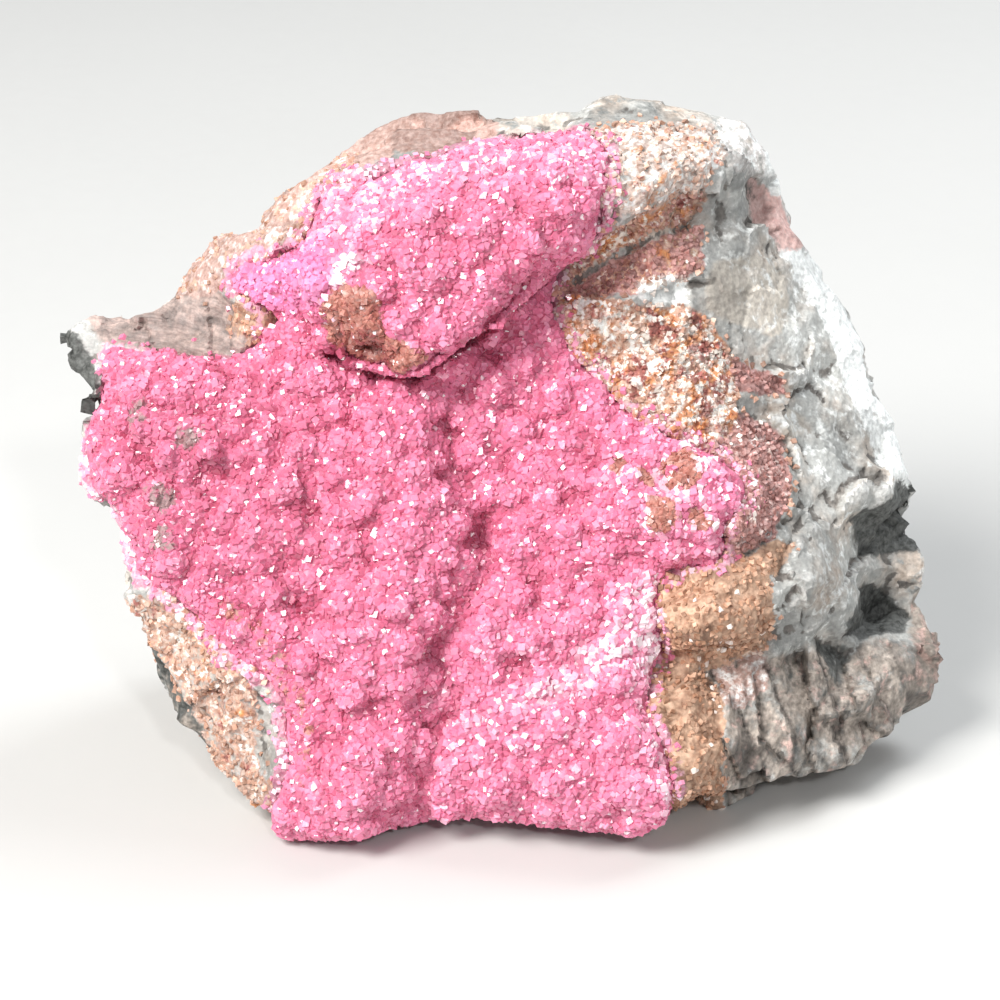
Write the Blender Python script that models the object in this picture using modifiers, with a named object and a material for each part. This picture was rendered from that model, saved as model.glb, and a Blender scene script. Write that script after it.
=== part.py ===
"""A hand specimen of pink dolomite: a broken piece of grey host rock, its face crusted with small rhombs.

The face is drawn in millimetres as a viewer sees it from VIEW_DISTANCE away: s runs to the right, t runs up
the face and n comes out of it. The face leans back by FACE_TILT, and the stone rests on a flat break.
"""

import math

import bmesh
import bpy
import numpy as np
from mathutils import Matrix, Vector, geometry

MM = 0.001

# Driving sizes of the whole stone, in millimetres and degrees.
FACE_TILT = math.radians(27.0)
VIEW_DISTANCE = 240.0
FACE_CENTRE = (0.0, 25.5)
FLOOR_BELOW_FACE = 1.5
DEEPEST = 44.0
BACK_TAPER = 0.10
TAPER_DEPTH = 30.0

# The crust stands proud of the rock and is let into it, deeper away from its edge, with a gap all round.
CRUST_PROUD = 0.9
CRUST_SUNK = (1.6, 3.6)
CRUST_SLAB = 2.5
SEAT_GAP = 0.55
LUMP_HEIGHT = 0.55
CRYSTAL_COUNT = 115
CRYSTAL_EDGE = (1.2, 1.9)
CRYSTAL_SPACING = 2.5
CRYSTAL_FLATTENING = 0.86

# Mesh fineness.
VOXEL = 0.75
ROCK_TRIANGLES = 3500
CRUST_TRIANGLES = 2000
SEAT_TRIANGLES = 1500

MATRIX_COLOUR = (0.36, 0.32, 0.28, 1.0)
CRUST_COLOUR = (0.80, 0.27, 0.42, 1.0)

# The stone's outline on the face, clockwise from the left tip.
STONE_OUTLINE = [
    (-33.3, 37.5), (-32.7, 38.4), (-30.8, 39.2), (-28.8, 39.6), (-26.4, 40.0), (-24.6, 40.8),
    (-22.6, 43.8), (-21.9, 45.6), (-21.0, 46.2), (-19.0, 46.3), (-17.7, 46.9), (-16.7, 48.0),
    (-15.2, 49.0), (-13.4, 50.0), (-10.9, 52.6), (-8.7, 54.3), (-4.7, 54.7), (2.3, 54.4), (3.8, 54.9),
    (6.2, 55.0), (9.2, 55.8), (10.5, 56.0), (14.5, 55.2), (16.7, 54.8), (18.3, 54.1), (20.1, 52.5),
    (20.5, 51.0), (20.9, 49.0), (22.2, 45.3), (23.1, 43.8), (24.3, 42.8), (25.9, 39.3), (27.3, 36.9),
    (27.9, 33.9), (30.3, 29.6), (31.2, 26.6), (32.2, 22.5), (32.3, 17.1), (32.8, 11.0), (31.6, 9.8),
    (28.2, 7.6), (26.8, 7.1), (27.1, 6.3), (26.6, 5.8), (22.6, 5.0), (21.5, 4.7), (21.4, 4.0),
    (18.1, 2.6), (16.7, 2.3), (16.2, 1.7), (13.7, 0.9), (12.5, 0.6), (7.3, 1.3), (3.0, 2.0),
    (-2.1, 2.4), (-7.0, 2.1), (-10.3, 1.2), (-12.0, 0.6), (-16.4, 0.5), (-17.3, 0.0), (-18.4, 0.0),
    (-20.4, 1.5), (-21.8, 3.7), (-24.1, 9.1), (-26.6, 14.6), (-28.3, 18.2), (-28.2, 21.0),
    (-29.7, 25.2), (-30.8, 25.9), (-31.1, 27.1), (-31.1, 31.4), (-31.8, 33.4), (-32.7, 36.1),
]

# The crust's broken edge, clockwise from the left tip. On the left and below it runs just past the stone's.
CRUST_OUTLINE = [
    (-29.7, 37.2), (-26.5, 36.4), (-23.0, 36.0), (-20.4, 35.9), (-18.6, 36.2), (-17.7, 37.5),
    (-15.3, 39.2), (-15.9, 39.9), (-19.5, 41.0), (-20.6, 41.8), (-19.5, 42.8), (-15.8, 43.7),
    (-14.4, 44.6), (-13.7, 46.2), (-13.2, 48.3), (-12.3, 49.5), (-11.1, 48.8), (-9.6, 49.1),
    (-7.0, 50.5), (-3.6, 51.1), (-2.6, 51.8), (-0.6, 52.0), (2.3, 52.5), (5.1, 53.0), (6.8, 52.9),
    (7.8, 51.7), (7.2, 48.2), (6.9, 46.5), (4.5, 43.4), (4.0, 42.0), (3.6, 39.2), (4.5, 38.0),
    (5.8, 35.1), (6.9, 34.7), (9.8, 31.5), (12.3, 30.0), (14.3, 29.6), (16.5, 28.1), (18.2, 26.9),
    (18.5, 25.8), (17.4, 24.9), (16.2, 23.3), (16.7, 21.9), (15.6, 20.3), (13.2, 21.0), (11.2, 19.5),
    (11.6, 17.1), (12.3, 15.0), (11.1, 12.6), (10.6, 9.9), (12.2, 6.6), (12.8, 5.1), (12.8, 3.6),
    (12.5, 1.3), (10.2, 0.6), (4.5, 1.2), (0.0, 1.8), (-4.5, 2.0), (-9.0, 0.9), (-12.0, 0.2),
    (-15.0, 0.3), (-16.7, 0.1), (-17.3, 2.1), (-15.9, 3.9), (-15.4, 6.8), (-16.1, 8.1), (-15.5, 9.6),
    (-16.4, 11.3), (-17.9, 13.0), (-20.3, 14.1), (-22.3, 16.9), (-23.9, 18.2), (-26.6, 19.6),
    (-27.0, 21.3), (-28.5, 24.9), (-30.2, 25.8), (-31.4, 26.3), (-31.6, 29.3), (-31.5, 31.7),
    (-30.0, 32.9), (-29.7, 35.7),
]

# How far the broken face stands out (+) or falls back (-) at chosen places (s, t, n).
LEFT_FIELD = [
    (-30.0, 34.5, -4.3), (-31.5, 29.3, -3.8), (-27.0, 25.5, -2.4), (-22.5, 33.0, -2.0), (-22.5, 25.5, -1.0),
    (-15.0, 29.3, -0.6), (-12.8, 36.8, -1.6), (-18.8, 18.0, 0.0), (-22.5, 19.5, -1.0), (-15.0, 9.0, 0.4),
    (-20.3, 12.0, -0.6), (-24.0, 15.8, -2.2), (-15.8, 3.8, 0.0), (-16.5, 0.0, -0.8),
]
MIDDLE_FIELD = [
    (-7.5, 33.0, 0.3), (-9.0, 27.0, 1.0), (-11.3, 21.0, 1.5), (-7.5, 18.0, 1.9), (-4.5, 31.5, -0.6),
    (0.0, 30.8, -1.6), (3.0, 33.0, -1.6), (7.5, 29.3, -0.6), (4.5, 24.0, -0.4), (4.5, 18.0, 0.0),
    (7.5, 21.0, 0.4), (10.5, 16.5, 1.0), (4.5, 10.5, 0.9), (9.0, 10.5, 1.9), (0.0, 6.0, 0.8),
    (7.5, 4.5, 2.0), (12.0, 1.5, 1.8), (-8.3, 9.5, 0.8), (-10.5, 3.0, 0.6), (-6.0, 1.0, -1.2),
]
UPPER_LOBE = [
    (-11.3, 36.5, -1.6), (-3.8, 43.5, 0.6), (-7.5, 46.5, 1.6), (0.0, 48.0, 1.4), (4.5, 49.5, 1.0),
    (6.8, 51.8, 0.2), (-12.8, 50.0, -2.6), (-16.5, 42.0, -2.4), (-19.5, 41.5, -3.2), (-7.5, 51.8, -1.4),
    (-1.5, 52.5, -1.8), (4.5, 53.0, -2.2), (2.5, 39.0, -2.2),
]
TOP_RIM = [
    (-3.8, 55.5, -6.5), (-9.0, 55.0, -6.5), (-11.6, 52.3, -6.5), (-16.5, 48.8, -7.2), (-21.8, 46.8, -8.2),
    (-23.8, 42.4, -8.4), (-25.5, 40.8, -8.8), (-18.8, 45.0, -4.2), (-17.3, 39.4, -3.0), (-24.8, 38.0, -6.6),
    (-20.3, 37.2, -4.8), (-28.5, 38.4, -6.2), (-31.0, 40.2, -7.4), (-34.2, 37.6, -6.2), (-31.8, 34.6, -6.4),
    (-32.2, 32.0, -5.0), (3.0, 55.3, -7.0), (10.5, 57.0, -9.2), (15.0, 56.0, -9.2), (19.4, 54.4, -9.4),
    (21.4, 51.2, -10.2), (5.0, 53.8, -3.4),
]
LEFT_RIM = [(-29.2, 18.0, -3.8), (-26.0, 10.5, -6.4), (-21.8, 3.0, -6.2), (-18.8, -0.6, -3.2)]
RIGHT_GROUND = [
    (9.5, 53.0, -1.6), (10.5, 50.3, 0.6), (15.0, 51.6, -1.2), (18.0, 51.6, -4.0), (15.0, 48.8, 0.2),
    (12.0, 47.3, 0.6), (4.2, 41.5, -2.6), (9.0, 44.0, -2.6), (14.3, 46.2, -2.2), (16.5, 47.3, -3.0),
    (11.3, 42.6, -0.7), (9.0, 40.5, -0.8), (15.0, 43.3, -1.6), (6.0, 39.6, -1.2), (7.5, 36.0, -1.0),
    (10.5, 37.5, -0.4), (13.5, 34.5, -0.6), (18.0, 44.3, -4.2), (18.3, 38.0, -3.8), (15.0, 37.6, -2.0),
    (21.0, 40.4, -7.0), (22.6, 38.2, -8.2), (22.8, 46.0, -11.2), (25.8, 41.6, -13.0), (28.2, 36.0, -14.0),
    (24.8, 34.5, -10.0), (21.0, 33.0, -6.0), (18.0, 33.0, -3.0), (16.5, 29.2, -1.5), (19.5, 27.8, -2.0),
    (21.8, 27.0, -3.6), (25.5, 29.3, -8.0), (29.6, 32.4, -13.4),
]
LOWER_RIGHT = [
    (32.0, 27.6, -14.2), (28.5, 27.0, -10.0), (25.5, 24.8, -6.2), (27.8, 22.5, -11.4), (30.2, 24.0, -14.0),
    (33.2, 22.0, -15.4), (27.0, 18.8, -9.4), (24.8, 21.0, -5.0), (23.3, 18.2, -3.2), (26.3, 17.2, -6.4),
    (26.3, 15.0, -9.6), (30.0, 18.0, -12.4), (33.3, 17.0, -14.2), (33.8, 10.8, -13.0), (28.5, 14.3, -7.8),
    (30.0, 11.3, -8.6), (27.0, 10.5, -6.0), (24.0, 13.5, -4.8), (21.0, 15.0, -3.0), (22.5, 10.5, -3.8),
    (27.4, 6.0, -5.6), (24.0, 4.8, -4.0), (21.6, 3.6, -3.0), (19.5, 7.5, -1.8), (19.5, 11.3, -1.8),
    (18.0, 1.8, -2.4), (15.0, 27.0, 1.0), (12.0, 25.6, 0.8), (18.0, 24.0, 0.6), (14.3, 22.4, 0.0),
    (19.6, 22.6, -1.0), (21.2, 24.8, -2.2), (16.5, 20.6, 0.2), (12.0, 18.8, 0.6), (15.0, 18.2, 1.6),
    (19.5, 18.0, 0.4), (15.0, 15.2, 1.8), (20.3, 14.8, -0.6), (12.2, 13.6, -0.2), (15.8, 13.2, -0.4),
    (14.3, 11.3, 1.1), (13.5, 7.5, 1.5), (14.5, 3.0, 1.4), (16.6, 6.0, 0.4), (17.3, 11.0, 0.0),
    (15.0, 0.0, 0.4), (9.5, 0.4, 0.4), (1.5, 0.8, -0.8),
]
SOUNDINGS = LEFT_FIELD + MIDDLE_FIELD + UPPER_LOBE + TOP_RIM + LEFT_RIM + RIGHT_GROUND + LOWER_RIGHT

# Valleys in the face: path, depth and half width.
MAIN_VALLEY = [
    (-4.5, 31.0), (-2.6, 27.5), (-1.4, 23.0), (-3.4, 18.0), (-4.6, 13.5), (-4.0, 11.5), (-5.5, 7.5),
    (-6.8, 2.0),
]
GROOVES = [
    (MAIN_VALLEY, 2.2, 1.7),
    ([(-1.4, 23.0), (0.8, 20.5), (1.8, 18.0)], 0.9, 1.4),
    ([(-12.2, 8.0), (-8.7, 10.4), (-5.5, 8.6)], 1.0, 1.3),
    ([(-12.4, 7.0), (-13.4, 4.0), (-14.8, 1.0)], 1.0, 1.0),
    ([(-13.5, 20.0), (-14.2, 15.0), (-12.6, 11.0)], 0.8, 1.5),
    ([(-12.0, 31.5), (-10.5, 34.5), (-6.0, 35.2), (-1.0, 37.5)], 1.0, 1.6),
    ([(11.6, 14.4), (14.0, 13.4), (16.8, 13.8), (19.2, 15.2)], 2.6, 1.1),
    ([(21.4, 20.0), (19.8, 18.9), (17.8, 18.4)], 1.3, 0.8),
    ([(3.8, 41.6), (8.6, 44.2), (14.6, 47.2)], 1.4, 1.7),
    ([(26.5, 28.0), (23.6, 24.4), (21.8, 23.2)], 0.7, 0.9),
]

# Rounded rises (+) and hollows (-): centre, half sizes along and across, turn in degrees and height.
RISES = [
    ((-6.8, 45.6), (6.4, 4.4), 25.0, 1.5),
    ((1.2, 46.6), (4.5, 4.2), 0.0, 0.8),
    ((-9.6, 5.0), (3.0, 4.6), -20.0, 1.9),
    ((-5.8, 24.0), (3.0, 7.4), 12.0, 1.2),
    ((-9.4, 15.6), (3.4, 5.2), -8.0, 1.0),
    ((-23.5, 30.0), (2.8, 2.2), 0.0, 0.9),
    ((-25.4, 22.4), (2.4, 3.2), 20.0, 0.9),
    ((-17.4, 24.0), (3.0, 4.6), -15.0, 0.8),
    ((12.6, 24.4), (1.9, 1.6), -30.0, 1.3),
    ((16.0, 26.6), (2.6, 1.8), -10.0, 1.1),
    ((18.4, 24.2), (1.9, 1.9), 0.0, 1.0),
    ((16.6, 17.0), (3.9, 2.4), 8.0, 1.3),
    ((14.2, 7.0), (2.2, 5.2), 0.0, 0.8),
    ((23.2, 18.8), (2.4, 2.7), 0.0, 2.0),
    ((28.2, 17.6), (2.0, 2.0), 30.0, -2.8),
    ((28.4, 23.2), (2.2, 1.4), 35.0, -2.0),
    ((-10.0, 38.6), (2.4, 1.4), -25.0, -1.6),
]

# Ledges where the face drops away sharply to the right of the path: path, drop, run-out and overhang.
LOBE_FOOT = [
    (-13.0, 38.8), (-11.6, 36.8), (-8.4, 35.9), (-6.6, 35.8), (-4.2, 37.4), (-1.6, 39.6), (1.6, 41.6),
    (4.2, 43.4),
]
LEDGES = [
    (LOBE_FOOT, 4.6, 9.0, 1.7),
    ([(10.2, 22.2), (12.4, 21.2), (15.2, 21.5), (16.8, 20.6), (18.2, 21.6)], 2.0, 3.6, 0.7),
    ([(17.6, 18.2), (20.0, 20.2), (22.0, 21.0)], 1.6, 3.0, 0.3),
    ([(12.6, 14.2), (15.8, 13.8), (18.6, 15.4), (20.2, 17.6)], 1.4, 3.2, 0.3),
    ([(21.6, 5.0), (24.0, 8.8), (28.6, 10.2), (31.6, 11.4)], 1.2, 3.6, 0.2),
]

# Flat breaks at the sides and back: a point on each and its outward direction, in the standing stone.
BREAKS = [
    ((0.0, 35.8, 25.0), (0.06, 1.0, 0.10)),
    ((-20.0, 32.0, 36.0), (-0.55, 0.80, 0.30)),
    ((25.5, 33.0, 32.0), (0.85, 0.52, 0.16)),
    ((34.6, 19.6, 4.0), (0.90, 0.42, -0.12)),
    ((-34.0, 25.8, 30.0), (-0.80, 0.58, -0.14)),
    ((4.0, 34.5, 47.5), (0.10, 0.62, 0.78)),
    ((0.0, 34.0, 6.5), (0.08, 0.80, -0.58)),
    ((-24.0, 34.0, 14.0), (-0.45, 0.72, -0.52)),
    ((18.0, 33.0, 12.0), (0.55, 0.75, -0.36)),
    ((34.6, 19.0, 2.5), (0.45, 0.25, -0.86)),
    ((-23.0, 14.0, 2.0), (-0.66, -0.05, -0.75)),
    ((4.0, 2.5, 1.2), (0.02, -0.62, -0.78)),
    ((21.0, 36.2, 34.0), (0.60, 0.80, 0.10)),
    ((-14.0, 33.5, 28.0), (-0.30, 0.95, -0.05)),
    ((-2.0, 35.2, 16.0), (-0.12, 0.94, -0.32)),
    ((29.5, 30.0, 20.0), (0.80, 0.60, 0.0)),
]

# Chips broken from the bare rock, each a flat with its own tilt. Those on the face are smaller.
CHIP_SPACING = 6.8
CHIP_STEP = 0.6
CHIP_SLOPE = 0.18
FACE_CHIP_SPACING = 3.6
FACE_CHIP_STEP = 0.25
FACE_CHIP_SLOPE = 0.14


def smoothstep(low, high, value):
    x = np.clip((value - low) / (high - low), 0.0, 1.0)
    return x * x * (3.0 - 2.0 * x)


def path_distance(points, path, closed=False):
    """Distance from each point to a path, and which side it is on: +1 to the left of the way it runs."""
    path = np.array(path, float)
    starts = path if closed else path[:-1]
    ends = np.roll(path, -1, axis=0) if closed else path[1:]
    best = np.full(len(points), np.inf)
    side = np.ones(len(points))
    for a, b in zip(starts, ends):
        along = b - a
        share = np.clip((points - a) @ along / (along @ along), 0.0, 1.0)
        away = points - (a + share[:, None] * along)
        distance = np.hypot(away[:, 0], away[:, 1])
        cross = along[0] * away[:, 1] - along[1] * away[:, 0]
        nearer = distance < best
        best[nearer] = distance[nearer]
        side[nearer] = np.where(cross[nearer] >= 0.0, 1.0, -1.0)
    return best, side


def inside(points, outline):
    """Which points lie inside a closed outline."""
    outline = np.array(outline, float)
    found = np.zeros(len(points), bool)
    for a, b in zip(outline, np.roll(outline, -1, axis=0)):
        spans = (a[1] > points[:, 1]) != (b[1] > points[:, 1])
        height = np.where(a[1] == b[1], 1e-9, b[1] - a[1])
        crossing = a[0] + (points[:, 1] - a[1]) * (b[0] - a[0]) / height
        found ^= spans & (points[:, 0] < crossing)
    return found


def inner_distance(points, outline):
    """Distance to a closed outline, positive inside it."""
    distance, _ = path_distance(points, outline, closed=True)
    return np.where(inside(points, outline), distance, -distance)


def thin_plate(points, soundings):
    """The smoothest sheet through the soundings."""
    known = np.array(soundings, float)

    def bend(a, b):
        square = ((a[:, None, :] - b[None, :, :]) ** 2).sum(2)
        return 0.5 * square * np.log(square + 1e-9)

    count = len(known)
    system = np.zeros((count + 3, count + 3))
    system[:count, :count] = bend(known[:, :2], known[:, :2]) + 2.0 * np.eye(count)
    system[:count, count:] = np.column_stack([np.ones(count), known[:, :2]])
    system[count:, :count] = system[:count, count:].T
    weights = np.linalg.solve(system, np.append(known[:, 2], (0.0, 0.0, 0.0)))
    flat = weights[count] + points @ weights[count + 1:]
    return flat + bend(points, known[:, :2]) @ weights[:count]


def facets(points, soundings, beyond):
    """Flat facets between the soundings, and the sheet given as beyond outside them."""
    flat = [Vector((s, t)) for s, t, _ in soundings]
    corners, _, triangles, origins, _, _ = geometry.delaunay_2d_cdt(flat, [], [], 0, 1e-6)
    depths = [soundings[origin[0]][2] for origin in origins]
    found = beyond.copy()
    for triangle in triangles:
        (ax, ay), (bx, by), (cx, cy) = (corners[i] for i in triangle)
        area = (by - cy) * (ax - cx) + (cx - bx) * (ay - cy)
        u = ((by - cy) * (points[:, 0] - cx) + (cx - bx) * (points[:, 1] - cy)) / area
        v = ((cy - ay) * (points[:, 0] - cx) + (ax - cx) * (points[:, 1] - cy)) / area
        here = (u >= 0.0) & (v >= 0.0) & (u + v <= 1.0)
        a, b, c = (depths[i] for i in triangle)
        found[here] = (u * a + v * b + (1.0 - u - v) * c)[here]
    return found


def ledge_step(points, path, drop, run):
    """Height that a ledge adds: full just behind its edge, dying away behind it and at its ends."""
    distance, side = path_distance(points, path)
    behind = distance * side
    ends = np.array([path[0], path[-1]])
    from_end = np.sqrt(((points[:, None, :] - ends) ** 2).sum(2)).min(1)
    rise = smoothstep(-0.5, 0.9, behind) * np.exp(-((np.maximum(behind, 0.0) / run) ** 2))
    return drop * rise * smoothstep(-0.5, 3.0, from_end)


def face_depth(points):
    """How far the rock's face stands out at each (s, t)."""
    smooth = thin_plate(points, SOUNDINGS)
    broken = facets(points, SOUNDINGS, smooth)
    under_crust = smoothstep(-2.0, 1.0, inner_distance(points, CRUST_OUTLINE))
    depth = smooth * under_crust + (0.75 * broken + 0.25 * smooth) * (1.0 - under_crust)
    for path, fall, width in GROOVES:
        distance, _ = path_distance(points, path)
        depth -= fall * np.exp(-((distance / width) ** 2))
    for centre, sizes, turn, height in RISES:
        angle = math.radians(turn)
        offset = points - np.array(centre)
        along = offset[:, 0] * math.cos(angle) + offset[:, 1] * math.sin(angle)
        across = offset[:, 1] * math.cos(angle) - offset[:, 0] * math.sin(angle)
        depth += height * np.exp(-((along / sizes[0]) ** 2) - (across / sizes[1]) ** 2)
    for path, drop, run, _ in LEDGES:
        depth += ledge_step(points, path, drop, run)
    return depth


def overhang(points, height_share):
    """How far each point leans out over the foot of the ledge it stands on."""
    shift = np.zeros_like(points)
    for path, drop, run, reach in LEDGES:
        step = ledge_step(points, path, drop, run)
        way = np.array(path[-1]) - np.array(path[0])
        outward = np.array([way[1], -way[0]]) / np.hypot(*way)
        distance, _ = path_distance(points, path)
        amount = reach * step / drop * height_share * np.exp(-((distance / 4.0) ** 2))
        shift += amount[:, None] * outward
    return shift


def stand_up(face_points):
    """Face coordinates (s, t, n) in millimetres, turned into the standing stone."""
    s, t, n = face_points.T
    back = t * math.sin(FACE_TILT) - n * math.cos(FACE_TILT)
    up = t * math.cos(FACE_TILT) + n * math.sin(FACE_TILT)
    return np.column_stack([s, back, up])


def crust_back(points):
    """How deep the crust reaches at each (s, t)."""
    shallow, deep = CRUST_SUNK
    sunk = shallow + (deep - shallow) * smoothstep(0.3, 4.5, inner_distance(points, CRUST_OUTLINE))
    return np.minimum(face_depth(points), thin_plate(points, SOUNDINGS)) - sunk


def placed(points, depth, lean, spread):
    """Points of the face at the given depth, so that a viewer sees them at their own (s, t)."""
    centre = np.array(FACE_CENTRE)
    flat = centre + (points - centre) * spread[:, None] + lean
    return stand_up(np.column_stack([flat, depth]))


def set_block_on_face(points):
    """Gives the block the relief of the face, lowered under the crust, and tapers it in behind."""
    flat = points[:, :2]
    below = points[:, 2]
    depth = face_depth(flat)
    covered = smoothstep(-0.2, 0.8, inner_distance(flat, CRUST_OUTLINE))
    depth = depth + (crust_back(flat) + 0.9 - depth) * covered
    lean = overhang(flat, smoothstep(-9.0, 0.0, below) * (1.0 - covered))
    behind = np.maximum(-below - 3.0, 0.0) / TAPER_DEPTH
    spread = (VIEW_DISTANCE - depth) / VIEW_DISTANCE * (1.0 - BACK_TAPER * behind ** 1.5)
    return placed(flat, below + depth * smoothstep(-24.0, -4.0, below), lean, spread)


def set_slab_on_face(points, lump_height):
    """Stretches the crust's slab between its back and its lumpy front."""
    flat = points[:, :2]
    share = np.clip(points[:, 2] / CRUST_SLAB, 0.0, 1.0)
    front = face_depth(flat) + CRUST_PROUD + lump_height
    depth = crust_back(flat) * (1.0 - share) + front * share
    lean = overhang(flat, smoothstep(0.0, 0.7, share))
    return placed(flat, depth, lean, (VIEW_DISTANCE - depth) / VIEW_DISTANCE)


def mesh_object(name, mesh, collection):
    made = bpy.data.objects.new(name, mesh)
    collection.objects.link(made)
    return made


def applied(obj):
    """The object with its modifiers made real."""
    bpy.context.view_layer.update()
    graph = bpy.context.evaluated_depsgraph_get()
    mesh = bpy.data.meshes.new_from_object(obj.evaluated_get(graph))
    obj.modifiers.clear()
    obj.data = mesh
    return obj


def coordinates(obj):
    """Vertex places in millimetres."""
    flat = np.empty(len(obj.data.vertices) * 3)
    obj.data.vertices.foreach_get("co", flat)
    return flat.reshape(-1, 3) / MM


def normals(obj):
    flat = np.empty(len(obj.data.vertices) * 3)
    obj.data.vertices.foreach_get("normal", flat)
    return flat.reshape(-1, 3)


def move_to(obj, points):
    obj.data.vertices.foreach_set("co", (points * MM).ravel())
    obj.data.update()


def prism(name, outline, low, high, collection):
    """An outline raised along n from low to high, as an evenly meshed closed solid."""
    curve = bpy.data.curves.new(name, "CURVE")
    curve.dimensions = "2D"
    curve.fill_mode = "BOTH"
    curve.extrude = 0.5 * (high - low) * MM
    spline = curve.splines.new("POLY")
    spline.points.add(len(outline) - 1)
    for point, (s, t) in zip(spline.points, outline):
        point.co = (s * MM, t * MM, 0.0, 1.0)
    spline.use_cyclic_u = True
    drawn = bpy.data.objects.new(name + "_outline", curve)
    collection.objects.link(drawn)
    bpy.context.view_layer.update()
    graph = bpy.context.evaluated_depsgraph_get()
    mesh = bpy.data.meshes.new_from_object(drawn.evaluated_get(graph))
    bpy.data.objects.remove(drawn)
    middle = 0.5 * (high + low) * MM
    mesh.transform(Matrix.Translation((0.0, 0.0, middle)))
    weld_and_face_out(mesh)
    return remeshed(mesh_object(name, mesh, collection))


def weld_and_face_out(mesh):
    shape = bmesh.new()
    shape.from_mesh(mesh)
    bmesh.ops.remove_doubles(shape, verts=shape.verts, dist=0.01 * MM)
    bmesh.ops.recalc_face_normals(shape, faces=shape.faces)
    shape.to_mesh(mesh)
    shape.free()


def remeshed(obj):
    remesh = obj.modifiers.new("even_mesh", "REMESH")
    remesh.mode = "VOXEL"
    remesh.voxel_size = VOXEL * MM
    return applied(obj)


def decimated(obj, triangles):
    """Fewer faces, kept where the shape bends."""
    shape = bmesh.new()
    shape.from_mesh(obj.data)
    bmesh.ops.triangulate(shape, faces=shape.faces)
    shape.to_mesh(obj.data)
    shape.free()
    thin = obj.modifiers.new("fewer_faces", "DECIMATE")
    thin.ratio = min(1.0, triangles / len(obj.data.polygons))
    return applied(obj)


def cut_flat(obj, point, outward):
    """Breaks the stone off along a plane, and closes the break."""
    shape = bmesh.new()
    shape.from_mesh(obj.data)
    cut = bmesh.ops.bisect_plane(
        shape,
        geom=shape.verts[:] + shape.edges[:] + shape.faces[:],
        dist=1e-7,
        plane_co=Vector(point) * MM,
        plane_no=Vector(outward).normalized(),
        clear_outer=True,
    )
    rim = [item for item in cut["geom_cut"] if isinstance(item, bmesh.types.BMEdge)]
    bmesh.ops.holes_fill(shape, edges=rim, sides=0)
    bmesh.ops.triangulate(shape, faces=[face for face in shape.faces if len(face.verts) > 4])
    bmesh.ops.recalc_face_normals(shape, faces=shape.faces)
    shape.to_mesh(obj.data)
    shape.free()


def chips(points, spacing, step, slope, generator):
    """How far each point moves out or in where the rock has flaked into flats."""
    low, high = points.min(0), points.max(0)
    count = int(np.prod((high - low) / spacing))
    centres = generator.uniform(low, high, (count, 3))
    heights = generator.uniform(-step, step, count)
    slopes = generator.normal(0.0, slope, (count, 3))
    squares = (points ** 2).sum(1)[:, None] + (centres ** 2).sum(1) - 2.0 * points @ centres.T
    nearest = squares.argmin(1)
    offset = points - centres[nearest]
    tilted = heights[nearest] + (slopes[nearest] * offset).sum(1)
    return np.clip(tilted - 0.5 * step, -2.5 * step, 0.5 * step)


def lumps(points, generator):
    """Low bumps of several sizes over the crust, as sums of crossed waves."""
    height = np.zeros(len(points))
    for length, share in ((5.5, 0.45), (3.1, 0.35), (1.9, 0.30)):
        for _ in range(5):
            angle, phase = generator.uniform(0.0, 2.0 * math.pi, 2)
            wave = points[:, 0] * math.cos(angle) + points[:, 1] * math.sin(angle)
            height += share * np.sin(2.0 * math.pi * wave / length + phase) / math.sqrt(5.0)
    return LUMP_HEIGHT * height


def make_rock(collection):
    """The host rock as one broken block, before the crust's seat is cut."""
    rock = prism("matrix_rock", STONE_OUTLINE, -DEEPEST, 0.0, collection)
    move_to(rock, set_block_on_face(coordinates(rock)))
    for point, outward in BREAKS:
        cut_flat(rock, point, outward)
    remeshed(rock)
    generator = np.random.default_rng(11)
    points, facing = coordinates(rock), normals(rock)
    to_viewer = np.array([0.0, -math.cos(FACE_TILT), math.sin(FACE_TILT)])
    towards_viewer = smoothstep(0.2, 0.7, facing @ to_viewer)
    coarse = chips(points, CHIP_SPACING, CHIP_STEP, CHIP_SLOPE, generator)
    fine = chips(points, FACE_CHIP_SPACING, FACE_CHIP_STEP, FACE_CHIP_SLOPE, generator)
    bare = 1.0 - smoothstep(-0.5, 1.5, inner_distance(face_places(points), CRUST_OUTLINE)) * towards_viewer
    amount = bare * (coarse * (1.0 - towards_viewer) + fine * towards_viewer)
    move_to(rock, points + amount[:, None] * facing)
    return decimated(rock, ROCK_TRIANGLES)


def face_places(points):
    """Where a viewer sees each point of the standing stone on the face, as (s, t)."""
    s, back, up = points.T
    t = back * math.sin(FACE_TILT) + up * math.cos(FACE_TILT)
    n = up * math.sin(FACE_TILT) - back * math.cos(FACE_TILT)
    share = VIEW_DISTANCE / (VIEW_DISTANCE - n)
    centre = np.array(FACE_CENTRE)
    return centre + (np.column_stack([s, t]) - centre) * share[:, None]


def make_crust(collection):
    """The pink crust as a lumpy sheet that follows the rock's face."""
    crust = prism("pink_dolomite_crust", CRUST_OUTLINE, 0.0, CRUST_SLAB, collection)
    points = coordinates(crust)
    move_to(crust, set_slab_on_face(points, lumps(points[:, :2], np.random.default_rng(5))))
    return decimated(remeshed(crust), CRUST_TRIANGLES)


def make_seat(crust, collection):
    """The crust grown by the gap, which hollows its place in the rock."""
    seat = mesh_object("crust_seat", crust.data.copy(), collection)
    move_to(seat, coordinates(seat) + SEAT_GAP * normals(seat))
    decimated(remeshed(seat), SEAT_TRIANGLES)
    hide_helper(seat)
    return seat


def hide_helper(obj):
    obj.hide_render = True
    obj.display_type = "WIRE"


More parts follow.
